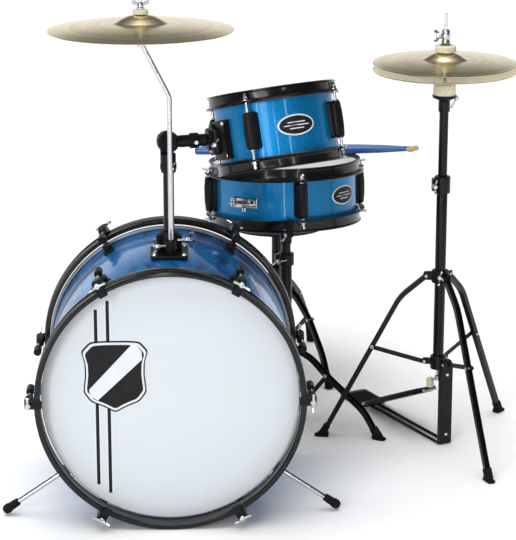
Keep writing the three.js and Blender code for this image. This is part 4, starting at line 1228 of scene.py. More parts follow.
def drum_fittings(name, body, sizes, frame_at, lugs_at, tee, length, context):
    """Tube lugs and chrome tension rods round a small drum."""
    count = context.scene.kit_sizes.lug_count
    reach = context.scene.kit_sizes.lug_reach * 1000 - 5
    rod = context.scene.kit_sizes.tension_rod * 1000
    r, half = sizes["shell"], sizes["half"]
    lug = Shape()
    stand = Matrix(((0, 0, 1, 0), (1, 0, 0, 0), (0, 1, 0, 0), (0, 0, 0, 1)))
    half_length = length / 2
    foot = rounded([(-12, -half_length), (12, -half_length), (12, half_length), (-12, half_length)], 5, 4,
                   closed=True)
    lug.slab(foot, -1.5, 7, 1.6, 0, stand)
    waist = [(-9.6, -half_length + 1.5), (9.6, -half_length + 1.5), (10.8, 0), (9.6, half_length - 1.5),
             (-9.6, half_length - 1.5), (-10.8, 0)]
    lug.slab(rounded(waist, 5, 4, closed=True), 5, 17.5, 3.6, 0, stand)
    lug.turned([(0, -half_length - 1), (4, -half_length - 1), (6.6, -half_length + 2),
                (8.2, -half_length * 0.4),
                (8.4, 0), (8.2, half_length * 0.4), (6.6, half_length - 2), (4, half_length + 1),
                (0, half_length + 1)], 0, move(reach, 0, 0), 32)
    ringed(name + "_lugs", lug, count, r, lugs_at, "cast_black", frame_at, body)
    bolt = Shape()
    for up in (1, -1):
        top = half - sizes["hoop"] + 5
        bolt.rod(rod, (0, 0, up * (length / 2 - 6)), (0, 0, up * (top + 4)), sides=16)
        bolt.turned([(0, up * top), (5, up * top), (5, up * (top + 1.4)), (0, up * (top + 1.4))], 0, STILL,
                    20)
        if tee:
            bolt.turned([(0, up * (top + 1)), (4.2, up * (top + 1)), (3.6, up * (top + 9)),
                         (0, up * (top + 10))],
                        0, STILL, 20)
            bolt.rod(2.3, (-11, 0, up * (top + 8)), (11, 0, up * (top + 8)), sides=14)
        else:
            bolt.turned([(0, up * (top + 1)), (4.4, up * (top + 1)), (4.2, up * (top + 5)),
                         (3.2, up * (top + 6)),
                         (2.8, up * (top + 12)), (0, up * (top + 12.6))], 0, STILL, 8)
    ringed(name + "_tension_rods", bolt, count, r + reach, lugs_at, "chrome", frame_at, body)
    collar = Shape()
    for up in (1, -1):
        collar.turned([(2, up * (length / 2 - 0.5)), (4.8, up * (length / 2 - 0.5)),
                       (4.4, up * (length / 2 + 2)),
                       (2, up * (length / 2 + 2.4))], 0, STILL, 20)
    ringed(name + "_lug_inserts", collar, count, r + reach, lugs_at, "steel", frame_at, body)


class KIT_OT_tom(bpy.types.Operator):
    """Builds the tom with its lugs and badge"""
    bl_idname = "kit.tom"
    bl_label = "Tom"

    def execute(self, context):
        lugs_at = -90 - 25 - ARM_SWING
        small_drum("tom", "tom", TOM, TOM_FRAME, lugs_at, -90 + 17 - ARM_SWING)
        drum_fittings("tom", "tom", TOM, TOM_FRAME, lugs_at, False, 60, context)
        return {"FINISHED"}


class KIT_OT_snare(bpy.types.Operator):
    """Builds the snare drum with its lugs, badge, strainer and wires"""
    bl_idname = "kit.snare"
    bl_label = "Snare drum"

    def execute(self, context):
        small_drum("snare", "snare_drum", SNARE, SNARE_FRAME, -90 + 9.4, -90 + 51.5)
        drum_fittings("snare", "snare_drum", SNARE, SNARE_FRAME, -90 + 9.4, True, 62, context)
        self.strainer()
        self.wires(context.scene.kit_sizes.snare_wires)
        return {"FINISHED"}

    def strainer(self):
        at = SNARE_FRAME @ turn(-127, "Z")
        r = SNARE["shell"]
        plate = Shape()
        plate.block((3.4, 56, 18), (r + 1.2, 0, -6), 1, 0, at, 4)
        for y in (-23, 23):
            plate.rod(2.6, (r + 2, y, -6), (r + 3.7, y, -6), 0, at, 18, 0.5)
        plate.rod(4, (r + 1, 0, -22), (r + 1, 0, -14), 0, at, 20)
        plate.make("strainer_plate", "snare_drum", ["chrome"], "chrome")
        lever = Shape()
        line = [(r + 7.4, -24, -5), (r + 8.2, -12, -5), (r + 7.6, 4, -6), (r + 8.6, 20, -6),
                (r + 10.4, 25, -6)]
        lever.swept(rounded(line, 6, 4), rectangle(11, 2.6, 1.1, 2), 0, at, (0, 0, 1))
        lever.rod(3, (r + 4, -21, -13), (r + 4, -21, 2), 0, at, 18)
        lever.rod(4.6, (r + 7.4, 16, -6), (r + 10.8, 16, -6), 0, at, 24)
        lever.block((5, 8, 13), (r + 5.6, -21, -5.4), 0.8, 0, at, 2)
        lever.make("strainer_lever", "snare_throw_off", ["chrome"], "chrome", ["snare_throw_off"])

    def wires(self, count):
        """Coiled wires soldered to two end plates, just under the bottom head."""
        low = -(SNARE["half"] - HOOP_STAND) - 3.2
        parts = []
        for k in range(count):
            y = (k - (count - 1) / 2) * 3.4
            line = [(-92 + 184 * i / 46, y, low + (0.8 if i % 2 else -0.8)) for i in range(47)]
            parts.append(wire_mesh(line, 0.55, 0.5, "steel", SNARE_FRAME @ turn(30, "Z"), 6))
        ends = Shape()
        for x in (-94, 94):
            ends.block((8, 3.4 * count + 6, 2), (x, 0, low), 0.6, 0, SNARE_FRAME @ turn(30, "Z"), 1.6)
            ends.block((26, 12, 0.8), (x * 1.14, 0, low - 0.6), 0.2, 1, SNARE_FRAME @ turn(30, "Z"), 1)
        parts.append(ends.mesh("wire_ends", ["steel", "drum_film"]))
        settle("snare_wires", join_meshes("snare_wires", parts), "snare_drum")


# ---------------------------------------------------------------- cymbals
def cymbal(radius, bell, bell_rise, bow, thick, hole):
    """A closed profile: rolled hole, domed bell, easy shoulder and a bow that flattens to the rim."""
    crown = [(hole, 1.0), (bell * 0.24, 0.995), (bell * 0.34, 0.95), (bell * 0.46, 0.84), (bell * 0.6, 0.66),
             (bell * 0.75, 0.42), (bell * 0.88, 0.18), (bell * 0.96, 0.05), (bell * 1.04, -0.02)]
    over = [(r, bow + bell_rise * share) for r, share in crown if r >= hole]
    for i in range(1, 31):
        t = i / 30
        over.append((bell * 1.04 + (radius - bell * 1.04) * t, (bow - 0.26) * (1 - t ** 1.7)))
    under = [(r, z - thick) for r, z in over]
    return over + [(radius + 0.35, -thick / 2)] + under[::-1]


class KIT_OT_crash(bpy.types.Operator):
    """Builds the crash rod, its felts and wing nut, and the crash cymbal"""
    bl_idname = "kit.crash"
    bl_label = "Crash cymbal"

    def execute(self, context):
        x, y, top = -41, ROD_Y, 795
        bell = top + 24
        rod = wire_mesh([(ROD_X, y, 400.5), (ROD_X, y, 687), (x + 1.5, y, 771), (x, y, 779)], 4, 26, "chrome",
                        sides=32)
        upper = Shape()
        upper.turned([(0, 770), (3, 770), (3, 842), (2.2, 843), (0, 843)], 0, move(x, y, 0), 24)
        upper.turned(rounded([(0, 767), (6.4, 768), (6.4, 777), (4, 779), (0, 779)], 1, 2), 0, move(x, y, 0),
                     32)
        upper.turned([(3, 829.4), (7, 829.4), (7, 830.6), (3, 830.6)], 0, move(x, y, 0), 28)
        wing_nut(upper, move(x, y, 831.2) @ turn(8, "Z"), 0, 13)
        whole = join_meshes("crash_rod_bent", [rod, upper.mesh("crash_top", ["chrome"])])
        settle("crash_rod_bent", whole, "crash_stand", ["crash_rod"])

        felts = Shape()
        at = move(x, y, 0)
        felts.turned([(6.2, 781), (12.4, 781), (13, 783), (13, bell - 8), (11.6, bell - 3.6),
                      (6.2, bell - 3.6)],
                     0, at, 48)
        felts.turned([(6.2, bell - 5), (7.2, bell - 5), (7.2, bell + 1.6), (6.2, bell + 1.6)], 1, at, 32)
        felts.turned([(6.2, bell + 1.4), (12, bell + 1.4), (12.6, bell + 3), (12.2, bell + 8),
                      (6.2, bell + 9)],
                     0, at, 48)
        felts.make("crash_felts", "crash_sleeve", ["felt", "cast_black"], "felt", ["crash_sleeve"])

        profile = cymbal(148, 44, 13, context.scene.kit_sizes.rim_curl * 1000, 1.4, 7.8)
        Shape().turned(profile, 0, move(x, y, top) @ turn(-0.2, "Y") @ turn(-1.3, "X"), 192).make(
            "crash_disc", "crash_cymbal", ["crash_brass"], "cymbal_brass", ["crash_cymbal"])
        return {"FINISHED"}


# ---------------------------------------------------------------- folding stands
def azimuths(spec):
    return [(letter, spec["azimuth"] + 120 * k) for k, letter in enumerate("abc")]


def channel_section(wall, width=11, depth=8.4):
    """An open channel: a web with two flanges, as (up, across) points."""
    w, d = width / 2, depth / 2
    return [(d, -w), (d, w), (-d, w), (-d, w - wall), (d - wall, w - wall), (d - wall, -w + wall),
            (-d, -w + wall),
            (-d, -w)]


def stand_leg(name, body, spec, place, angle, foot_kind, wall, node):
    """One bent channel leg with its rubber foot."""
    at = place @ turn(angle, "Z")
    line = [(r, 0, z) for r, z in (spec["pivot"], spec["knee"], spec["rivet"], spec["shin"])]
    (sr, sz), (fr, fz) = spec["shin"], spec["foot"]
    share = 0.82 if foot_kind == "boot" else 0.86
    line.append((sr + (fr - sr) * share, 0, sz + (fz - sz) * share))
    leg = Shape()
    leg.swept(rounded(line, 16, 4), channel_section(wall, 9.6, 8.6), 0, at)
    leg.rod(5.0, (spec["pivot"][0], -2.8, spec["pivot"][1]), (spec["pivot"][0], 2.8, spec["pivot"][1]), 0, at,
            28)
    out = Vector((fr - sr, 0, fz - sz)).normalized()
    if foot_kind == "boot":
        sole = rounded([(fr - 13, -7.5), (fr + 9, -7.5), (fr + 13, -4), (fr + 13, 4), (fr + 9, 7.5),
                        (fr - 13, 7.5)],
                       4, 3, closed=True)
        leg.slab(sole, 0.2, 4.4, 1.2, 1, at)
        leg.slab([(fr - 3 + (px - fr) * 0.78, py * 0.8) for px, py in sole], 3.4, 9, 1.6, 1, at)
        leg.swept([(fr - out.x * 22, 0, 1 - out.z * 22), (fr - out.x * 12, 0, 2 - out.z * 12),
                   (fr - 1, 0, 5)],
                  rectangle(12.5, 13.5, 3, 3), 1, at)
    else:
        spin = at @ Matrix.Translation((fr, 0, 0)) @ (-out).to_track_quat("Z", "Y").to_matrix().to_4x4()
        rings = [(0, 6.2), (7.6, 6.6)]
        for k in range(6):
            z = 8 + k * 4.3
            ridge, groove = 8.4 - k * 0.35, 7.2 - k * 0.35
            rings += [(ridge, z), (ridge, z + 2.6), (groove, z + 3.2), (groove, z + 4)]
        rings += [(5.2, 36), (0, 36)]
        leg.turned(rings, 1, spin, 36)
        leg.rod(8.8, (fr - 1, 0, 0.2), (fr - 3, 0, 8), 1, at, 32, 2)
    leg.make(name, body, ["tube_black", "rubber"], "bracket_black", [node])


def rivet(length, head=3.6):
    """A domed rivet that runs along Y right through a joint."""
    half = length / 2
    dome = [(0, -half - 1.9), (head * 0.6, -half - 1.6), (head, -half - 0.2), (head, -half), (1.8, -half),
            (1.8, half), (head, half), (head, half + 0.2), (head * 0.6, half + 1.6), (0, half + 1.9)]
    return Shape().turned(dome, 0, turn(90, "X"), 20)


def stand_brace(name, body, spec, place, angle, node):
    """Flat brace with rounded eyes beside the leg."""
    at = place @ turn(angle, "Z")
    (hr, hz), (rr, rz) = spec["hub"], spec["rivet"]
    run = Vector((rr - hr, rz - hz))
    tilt = math.degrees(math.atan2(run.y, run.x))
    bar = at @ move(hr, 6.2, hz) @ turn(-tilt, "Y") @ turn(90, "X")
    length = run.length
    outline = rounded([(-5, -4), (length + 5, -4), (length + 5, 4), (-5, 4)], 4, 4, closed=True)
    shape = Shape().slab(outline, -1.2, 1.2, 0.4, 0, bar)
    shape.slab(rounded([(10, -1.6), (length - 10, -1.6), (length - 10, 1.6), (10, 1.6)], 1.5, 3, closed=True),
               -1.8, 1.8, 0.4, 0, bar)
    shape.make(name, body, ["tube_black"], "bracket_black", [node])


def collar_shape(spec, bore):
    """Sliding collar with three pairs of ears."""
    z, half, out = spec["pivot"][1], spec["half"], spec["collar"]
    shape = Shape().turned(rounded([(bore, z - half), (out, z - half), (out, z + half), (bore, z + half)],
                                   1.6, 3,
                                   closed=True), 0, STILL, 56)
    shape.turned(rounded([(bore, z - half + 4), (out + 1.2, z - half + 4), (out + 1.2, z - half + 8),
                          (bore, z - half + 8)], 0.8, 2, closed=True), 0, STILL, 56)
    for _, angle in azimuths(spec):
        for side in (-1, 1):
            reach = spec["pivot"][0] + 5.4
            outline = rounded([(bore + 1, z - 7), (reach, z - 6), (reach + 0.6, z), (reach, z + 6),
                               (bore + 1, z + 7)],
                              3, 3, closed=True)
            shape.slab(outline, -1.2, 1.2, 0.4, 0, turn(angle, "Z") @ move(0, side * 5.4, 0) @ turn(90, "X"))
    return shape


def tripod(name, spec, place, foot_kind, context, braces=True):
    wall = context.scene.kit_sizes.channel_wall * 1000
    for letter, angle in azimuths(spec):
        leg = f"{name}_leg_{letter}"
        body = leg if braces else "throne_base"
        stand_leg(leg + "_channel", body, spec, place, angle, foot_kind, wall, leg)
        at = place @ turn(angle, "Z")
        spots = [at @ move(spec["rivet"][0], 1.6, spec["rivet"][1])]
        scattered(leg + "_rivet", rivet(14), spots, "steel" if name != "hat" else "rivet_brass", body)
        if braces:
            stand_brace(f"{name}_brace_{letter}_bar", f"{name}_brace_{letter}", spec, place, angle,
                        f"{name}_brace_{letter}")
    if braces:
        turned_collar = collar_shape(spec, spec["tube"] + 0.4)
        whole = Shape()
        whole.points = [place @ p for p in turned_collar.points]
        whole.faces, whole.slots = turned_collar.faces, turned_collar.slots
        if name == "hat":
            wing_nut(whole, place @ move(-3, -spec["collar"],
                                         spec["pivot"][1] + 2) @ turn(90, "X") @ turn(80, "Z"), 1)
        else:
            wing_nut(whole,
                     place @ turn(200, "Z") @ move(spec["collar"], 0, spec["pivot"][1]) @ turn(90, "Y"), 1)
        whole.make(f"{name}_collar_cast", f"{name}_collar", ["cast_black", "chrome"], "bracket_black",
                   [f"{name}_collar"])
        pins = [place @ turn(angle, "Z") @ move(spec["pivot"][0], 0, spec["pivot"][1]) for _,
                angle in azimuths(spec)]
        scattered(f"{name}_collar_rivets", rivet(13.6, 3.2), pins, "steel", f"{name}_collar")


def hub_shape(spec, bore, low, high):
    """Lower hub with one ear for each brace."""
    out = spec["collar"] - 1
    shape = Shape().turned(rounded([(bore, low), (out, low), (out, high), (bore, high)], 1.6, 3, closed=True),
                           0, STILL, 56)
    for _, angle in azimuths(spec):
        r, z = spec["hub"]
        outline = rounded([(bore + 1, z - 6), (r + 4, z - 5.5), (r + 5, z), (r + 4, z + 5.5),
                           (bore + 1, z + 6)],
                          3, 3, closed=True)
        shape.slab(outline, -2.6, 2.6, 0.5, 0, turn(angle, "Z") @ turn(90, "X"))
    return shape


def placed(shape, place):
    shape.points = [place @ p for p in shape.points]
    return shape


class KIT_OT_snare_stand(bpy.types.Operator):
    """Builds the snare stand: tripod, tube, post and tilting basket"""
    bl_idname = "kit.snare_stand"
    bl_label = "Snare stand"

    def execute(self, context):
        spec, at = SNARE_STAND, STAND_AT
        tripod("snare_stand", spec, at, "boot", context)
        high = spec["high"]
        tube = hub_shape(spec, 9.2, 15, 33)
        tube.turned(rounded([(9.2, 12), (11, 12), (11, high), (9.2, high)], 0.8, 2, closed=True), 0, STILL,
                    56)
        tube.turned(rounded([(9.4, high - 22), (15, high - 22), (15, high), (9.4, high)], 1.6, 3,
                            closed=True),
                    0, STILL, 56)
        tube.block((8, 14, 18), (-16, 0, high - 11), 1.2, 0)
        tube.rod(3, (-13, -9, high - 11), (-13, -22, high - 11), 1)
        wing_nut(tube, move(-13, -15, high - 11) @ turn(90, "X") @ turn(20, "Z"))
        placed(tube, at).make("snare_stand_column", "snare_stand", ["tube_black", "chrome"], "tube_black",
                              ["snare_stand_tube"])
        pins = [at @ turn(angle, "Z") @ move(spec["hub"][0], 3, spec["hub"][1]) for _,
                angle in azimuths(spec)]
        scattered("snare_stand_hub_rivets", rivet(11, 3.2), pins, "steel", "snare_stand")

        pivot = BASKET_PIVOT.z
        post = Shape().rod(8.8, (0, 0, high - 110), (0, 0, pivot - 15), 0, at, 48, 1)
        post.block((20, 16, 5), (0, 0, pivot - 17), 0.8, 0, at, 3)
        for side in (-1, 1):
            cheek = rounded([(-10, pivot - 18), (10, pivot - 18), (10, pivot + 1), (5, pivot + 5.4),
                             (-5, pivot + 5.4), (-10, pivot + 1)], 3, 3, closed=True)
            post.slab(cheek, -2.2, 2.2, 0.8, 0, at @ move(0, side * 7.9, 0) @ turn(90, "X"))
        post.rod(3.4, (0, -15, pivot), (0, 14, pivot), 1, at)
        wing_nut(post, at @ move(0, -12, pivot) @ turn(90, "X") @ turn(55, "Z"))
        post.make("snare_post_yoke", "snare_post", ["tube_black", "chrome"], "tube_black", ["snare_post"])
        self.basket()
        return {"FINISHED"}

    def basket(self):
        low = -SNARE["half"] - 3.8
        hoop = SNARE["shell"] + 3.9 + SNARE["flange"]
        reach = hoop + 4
        cradle = Shape()
        for k in range(3):
            at = SNARE_FRAME @ turn(30 + 120 * k, "Z")
            line = rounded([(0, 0, low), (reach, 0, low), (reach, 0, low + 30)], 12, 6)
            cradle.swept(line, rectangle(5.6, 8, 1.2, 2), 0, at)
            grip = rounded([(reach - 24, 0, low), (reach, 0, low), (reach, 0, low + 22)], 12, 6)
            cradle.swept(grip, rectangle(8.4, 11, 2.4, 3), 1, at)
            for z in range(5):
                cradle.block((9, 12, 1.6), (reach, 0, low + 13 + z * 3.6), 0.5, 1, at, 2)
            cradle.rod(3.2, (26, -5.6, low), (26, 5.6, low), 2, at, 18)
        cradle.turned([(0, low - 5), (14, low - 5), (15, low - 4), (15, low + 3), (14, low + 4),
                       (0, low + 4)], 0,
                      SNARE_FRAME, 48)
        cradle.rod(11, (0, -4.4, low - 18.2), (0, 4.4, low - 18.2), 0, SNARE_FRAME, 40, 1)
        cradle.block((12, 8.8, 18), (0, 0, low - 9.2), 1, 0, SNARE_FRAME)
        cradle.make("basket_arms", "snare_basket", ["tube_black", "rubber", "steel"], "bracket_black",
                    ["snare_basket"])


class KIT_OT_hi_hat(bpy.types.Operator):
    """Builds the hi-hat: tripod, column, pull rod, clutch, cymbals and footboard"""
    bl_idname = "kit.hi_hat"
    bl_label = "Hi-hat"

    def execute(self, context):
        tripod("hat", HAT, HAT_AT, "boot", context)
        self.column()
        self.upper()
        self.pull_rod()
        bow = context.scene.kit_sizes.rim_curl * 1000 * 7 / 11
        for name, rim, flip in (("hat_bottom_cymbal", 678, True), ("hat_top_cymbal", 691, False)):
            place = HAT_AT @ move(0, 0, rim) @ (turn(180, "X") if flip else STILL)
            Shape().turned(cymbal(124, 38, 12, bow, 1.4, 5.8), 0, place, 176).make(
                name + "_disc", name, ["hat_brass"], "cymbal_brass", [name])
        self.footboard()
        return {"FINISHED"}

    def column(self):
        spec = HAT
        shape = hub_shape(spec, 8.3, 140, 164)
        shape.turned(rounded([(8.25, 140), (9.5, 140), (9.5, 470), (8.25, 470)], 0.5, 2, closed=True), 0,
                     STILL, 48)
        shape.turned(rounded([(8.25, 462), (14, 462), (14, 492), (8.25, 492)], 1.6, 3, closed=True), 0, STILL,
                     48)
        shape.block((9, 14, 22), (-14, 0, 477), 1.2, 0)
        shape.rod(3, (-14, -8, 477), (-14, -20, 477), 1)
        wing_nut(shape, move(-14, -14, 477) @ turn(90, "X") @ turn(85, "Z"))
        board = turn(PEDAL_TURN, "Z")
        section = channel_section(1.8, 24, 9)
        shape.swept([(-15, -7, 153), (-15, -7, 2)], section, 0, board, (0, 1, 0))
        shape.block((12, 24, 16), (-10, -7, 149), 1.4, 0, board)
        for z in (20, 132):
            shape.rod(3, (-21.6, -7, z), (-11, -7, z), 1, board, 18)
        for y in (-1, 1):
            shape.rod(2.8, (-15, y * 8 - 4, 3.2), (285, y * 8, 3.2), 0, board, 16)
        shape.block((79, 58, 5.4), (257, 0, 3.6), 1.6, 0, board, 8)
        for k in range(7):
            shape.block((3, 48, 1.4), (234 + k * 8, 0, 6.6), 0.5, 3, board, 1)
        shape.rod(3, (214, -26, 9.5), (214, 26, 9.5), 2, board, 18)
        placed(shape, HAT_AT).make("hat_column", "hat_stand", ["tube_black", "chrome", "steel", "rubber"],
                                   "tube_black", ["hat_base_tube"])
        pins = [HAT_AT @ turn(angle, "Z") @ move(spec["hub"][0], 3, spec["hub"][1]) for _,
                angle in azimuths(spec)]
        scattered("hat_hub_rivets", rivet(11, 3.2), pins, "steel", "hat_stand")

    def upper(self):
        shape = Shape().turned([(4.4, 330), (7.4, 330), (7.9, 331), (7.9, 606), (9.6, 606.4), (10, 608),
                                (10, 625),
                                (12, 627), (20, 631), (21, 633), (21, 635), (20, 636.2), (4.4, 636.2)], 0,
                                STILL, 56)
        shape.turned([(4.4, 636), (19, 636), (19.6, 638), (19.4, 652.6), (18.4, 654.4), (4.4, 654.4)], 1,
                     STILL, 56)
        shape.rod(2.2, (12, 0, 612), (22, 0, 630), 2, STILL, 16)
        shape.rod(4.4, (19.4, 0, 627), (23.4, 0, 633.4), 2, STILL, 20)
        placed(shape, HAT_AT).make("hat_upper_tube_seat", "hat_upper_tube", ["tube_black", "felt", "chrome"],
                                   "tube_black", ["hat_upper_tube"])

    def pull_rod(self):
        bell = 691 + 7 + 12
        rod = wire_mesh([(0, 0, 118), (0, 0, 777.4)], 2.6, 1, "chrome", HAT_AT, 24)
        clutch = Shape()
        clutch.turned([(2.6, 692), (7.4, 692), (8, 693), (8, 696.4), (2.6, 697)], 0, STILL, 8)
        clutch.turned([(2.6, 697), (11.4, 697), (12, 698.4), (12, bell - 3), (4.9, bell - 2.8),
                       (4.9, bell + 0.8),
                       (2.6, bell + 0.8)], 1, STILL, 48)
        clutch.turned([(2.6, bell + 0.8), (17.6, bell + 0.8), (18.4, bell + 3), (18, bell + 10),
                       (16.6, bell + 11.6),
                       (2.6, bell + 11.6)], 1, STILL, 48)
        clutch.turned([(2.6, bell + 11.6), (9.6, bell + 11.6), (10, bell + 13), (9, bell + 15),
                       (2.6, bell + 15)], 0,
                      STILL, 36)
        clutch.turned([(2.6, bell + 14), (6.6, bell + 14), (7.6, bell + 16), (7.6, 747), (6.8, 749),
                       (2.6, 749)], 0,
                      STILL, 36)
        clutch.rod(2.4, (-6, 0, 738), (-16, 0, 738), 0)
        wing_nut(clutch, move(-9, 0, 738) @ turn(-90, "Y") @ turn(15, "Z"), 0, 10)
        clutch.turned([(2.6, 118), (5, 118), (5.4, 119), (5.4, 126), (2.6, 127)], 0, STILL, 24)
        parts = [rod, placed(clutch, HAT_AT).mesh("hat_clutch", ["chrome", "felt"])]
        settle("hat_pull_rod_clutch", join_meshes("hat_pull_rod_clutch", parts), "hat_pull_rod",
               ["hat_pull_rod"])

    def footboard(self):
        at = HAT_AT @ turn(PEDAL_TURN, "Z")
        (hr, hz), (tr, tz) = (211, 13), (24, 96)
        length = math.hypot(hr - tr, tz - hz)
        slope = math.degrees(math.atan2(tz - hz, hr - tr))
        deck = at @ move(hr, 0, hz) @ turn(180, "Z") @ turn(-slope, "Y")
        board = Shape()
        outline = rounded([(0, -26), (length * 0.55, -29), (length * 0.9, -24), (length, -12), (length, 12),
                           (length * 0.9, 24), (length * 0.55, 29), (0, 26)], 8, 4, closed=True)
        board.slab(outline, -2, 2, 0.8, 0, deck)
        board.slab([(x * 0.96 + 4, y * 0.8) for x, y in outline], -6.5, -1.5, 1.2, 0, deck)
        for k in range(17):
            x = 16 + k * 10
            width = 44 if x < length * 0.8 else 34
            board.block((4, width, 1.6), (x, 0, 2.4), 0.6, 1, deck, 1.6)
        board.rod(3, (length - 4, -14, -3), (length - 4, 14, -3), 2, deck, 18)
        board.block((10, 12, 18), (24, 0, 106), 1.4, 3, at, 3)
        board.rod(2.2, (20, 0, 112), (4, 0, 121), 2, at, 14)
        board.make("hat_footboard_ribbed", "hat_footboard",
                   ["cast_black", "rubber", "steel", "cream_plastic"],
                   "bracket_black", ["hat_footboard"])


# ---------------------------------------------------------------- throne, pedal and sticks
class KIT_OT_throne(bpy.types.Operator):
    """Builds the folding stool: tripod, column, post and padded round seat"""
    bl_idname = "kit.throne"
    bl_label = "Throne"

    def execute(self, context):
        tripod("throne", THRONE, THRONE_AT, "round", context, braces=False)
        self.column()
        self.seat()
        return {"FINISHED"}

    def column(self):
        spec = THRONE
        shape = collar_shape(spec, 12.6)
        shape.turned(rounded([(10.35, 52), (13, 52), (13, 206), (10.35, 206)], 1, 2, closed=True), 0, STILL,
                     56)
        shape.turned(rounded([(10.5, 184), (17, 184), (17, 206), (10.5, 206)], 1.8, 3, closed=True), 0, STILL,
                     56)
        shape.rod(3, (0, 15, 195), (0, 32, 195), 1)
        wing_nut(shape, move(0, 25, 195) @ turn(-90, "X"))
        low = dict(spec, hub=(27, 66))
        lower = hub_shape(low, 12.8, 58, 74)
        shape.add(lower.points, lower.faces)
        for _, angle in azimuths(spec):
            shape.slab(rounded([(24, 62), (31, 62), (95, 118), (95, 126), (88, 126)], 3, 3, closed=True),
                       -1.2, 1.2,
                       0.4, 0, turn(angle, "Z") @ move(0, 6.4, 0) @ turn(90, "X"))
        placed(shape, THRONE_AT).make("throne_column", "throne_base", ["tube_black", "chrome"], "tube_black",
                                      ["throne_tube"])
        post = Shape().rod(10, (0, 0, 95), (0, 0, 285), 0, THRONE_AT, 48, 1)
        post.make("throne_post_tube", "throne_post", ["tube_black"], "tube_black", ["throne_post"])

    def seat(self):
        low, high, radius = 291, 343, 112
        base = Shape()
        base.turned([(10.5, low - 18), (15, low - 18), (15, low - 2), (40, low), (98, low), (98, low + 6),
                     (10.5, low + 6)], 0, THRONE_AT, 96)
        for k in range(4):
            spin = THRONE_AT @ turn(45 + 90 * k, "Z")
            base.rod(3.4, (30, 0, low - 2.4), (30, 0, low + 1), 1, spin, 16)
        base.make("seat_base", "throne_seat", ["tube_black", "steel"], "bracket_black")
        side = radius - 5
        profile = [(0, low + 6), (side - 9, low + 5), (side - 3, low + 7.6), (side, low + 13),
                   (side + 1, low + 26),
                   (side - 0.6, high - 16), (side - 8, high - 9), (side - 30, high - 5),
                   (side - 60, high - 4),
                   (0, high - 4)]
        pad = Shape().turned(rounded(profile, 6, 3), 0, THRONE_AT, 72)
        cushion = inflate(pad.mesh("throne_cushion", ["vinyl"]), 0.0045)
        seam = Shape()
        seam.turned([(radius - 3.5 + 2.1 * math.cos(a), high - 14 + 2.1 * math.sin(a)) for a in
                     [math.tau * i / 10 for i in range(10)]], 0, THRONE_AT, 120)
        seam.turned([(radius - 5.5 + 2.1 * math.cos(a), low + 8.6 + 2.1 * math.sin(a)) for a in
                     [math.tau * i / 10 for i in range(10)]], 0, THRONE_AT, 120)
        whole = join_meshes("throne_cushion", [cushion, seam.mesh("throne_piping", ["vinyl"])])
        piece = settle("throne_cushion", whole, "throne_seat", ["throne_seat"])


def inflate(mesh, cap):
    """Blows a closed mesh up a little as upholstery does, no point moving further than cap."""
    work = bpy.data.objects.new("inflating", mesh)
    bpy.context.scene.collection.objects.link(work)
    remesh = work.modifiers.new("Even", "REMESH")
    remesh.mode = "VOXEL"
    remesh.voxel_size = 0.005
    view = bpy.context.evaluated_depsgraph_get()
    even = bpy.data.meshes.new_from_object(work.evaluated_get(view))
    bpy.data.objects.remove(work)
    rest = [v.co.copy() for v in even.vertices]
    soft = bpy.data.objects.new("inflating", even)
    bpy.context.scene.collection.objects.link(soft)
    cloth = soft.modifiers.new("Cloth", "CLOTH")
    cloth.settings.use_pressure = True
    cloth.settings.uniform_pressure_force = 4
    cloth.settings.effector_weights.gravity = 0
    cloth.settings.quality = 5
    for step in range(1, 21):
        bpy.context.scene.frame_set(step)
    view = bpy.context.evaluated_depsgraph_get()
    blown = bpy.data.meshes.new_from_object(soft.evaluated_get(view))
    bpy.context.scene.frame_set(1)
    bpy.data.objects.remove(soft)
    for point, start in zip(blown.vertices, rest):
        shift = point.co - start
        if shift.length > cap:
            point.co = start + shift.normalized() * cap
    smooth = bpy.data.objects.new("smoothing", blown)
    bpy.context.scene.collection.objects.link(smooth)
    fine = smooth.modifiers.new("Fine", "SUBSURF")
    fine.levels = fine.render_levels = 1
    view = bpy.context.evaluated_depsgraph_get()
    done = bpy.data.meshes.new_from_object(smooth.evaluated_get(view))
    bpy.data.objects.remove(smooth)
    done.shade_smooth()
    return done


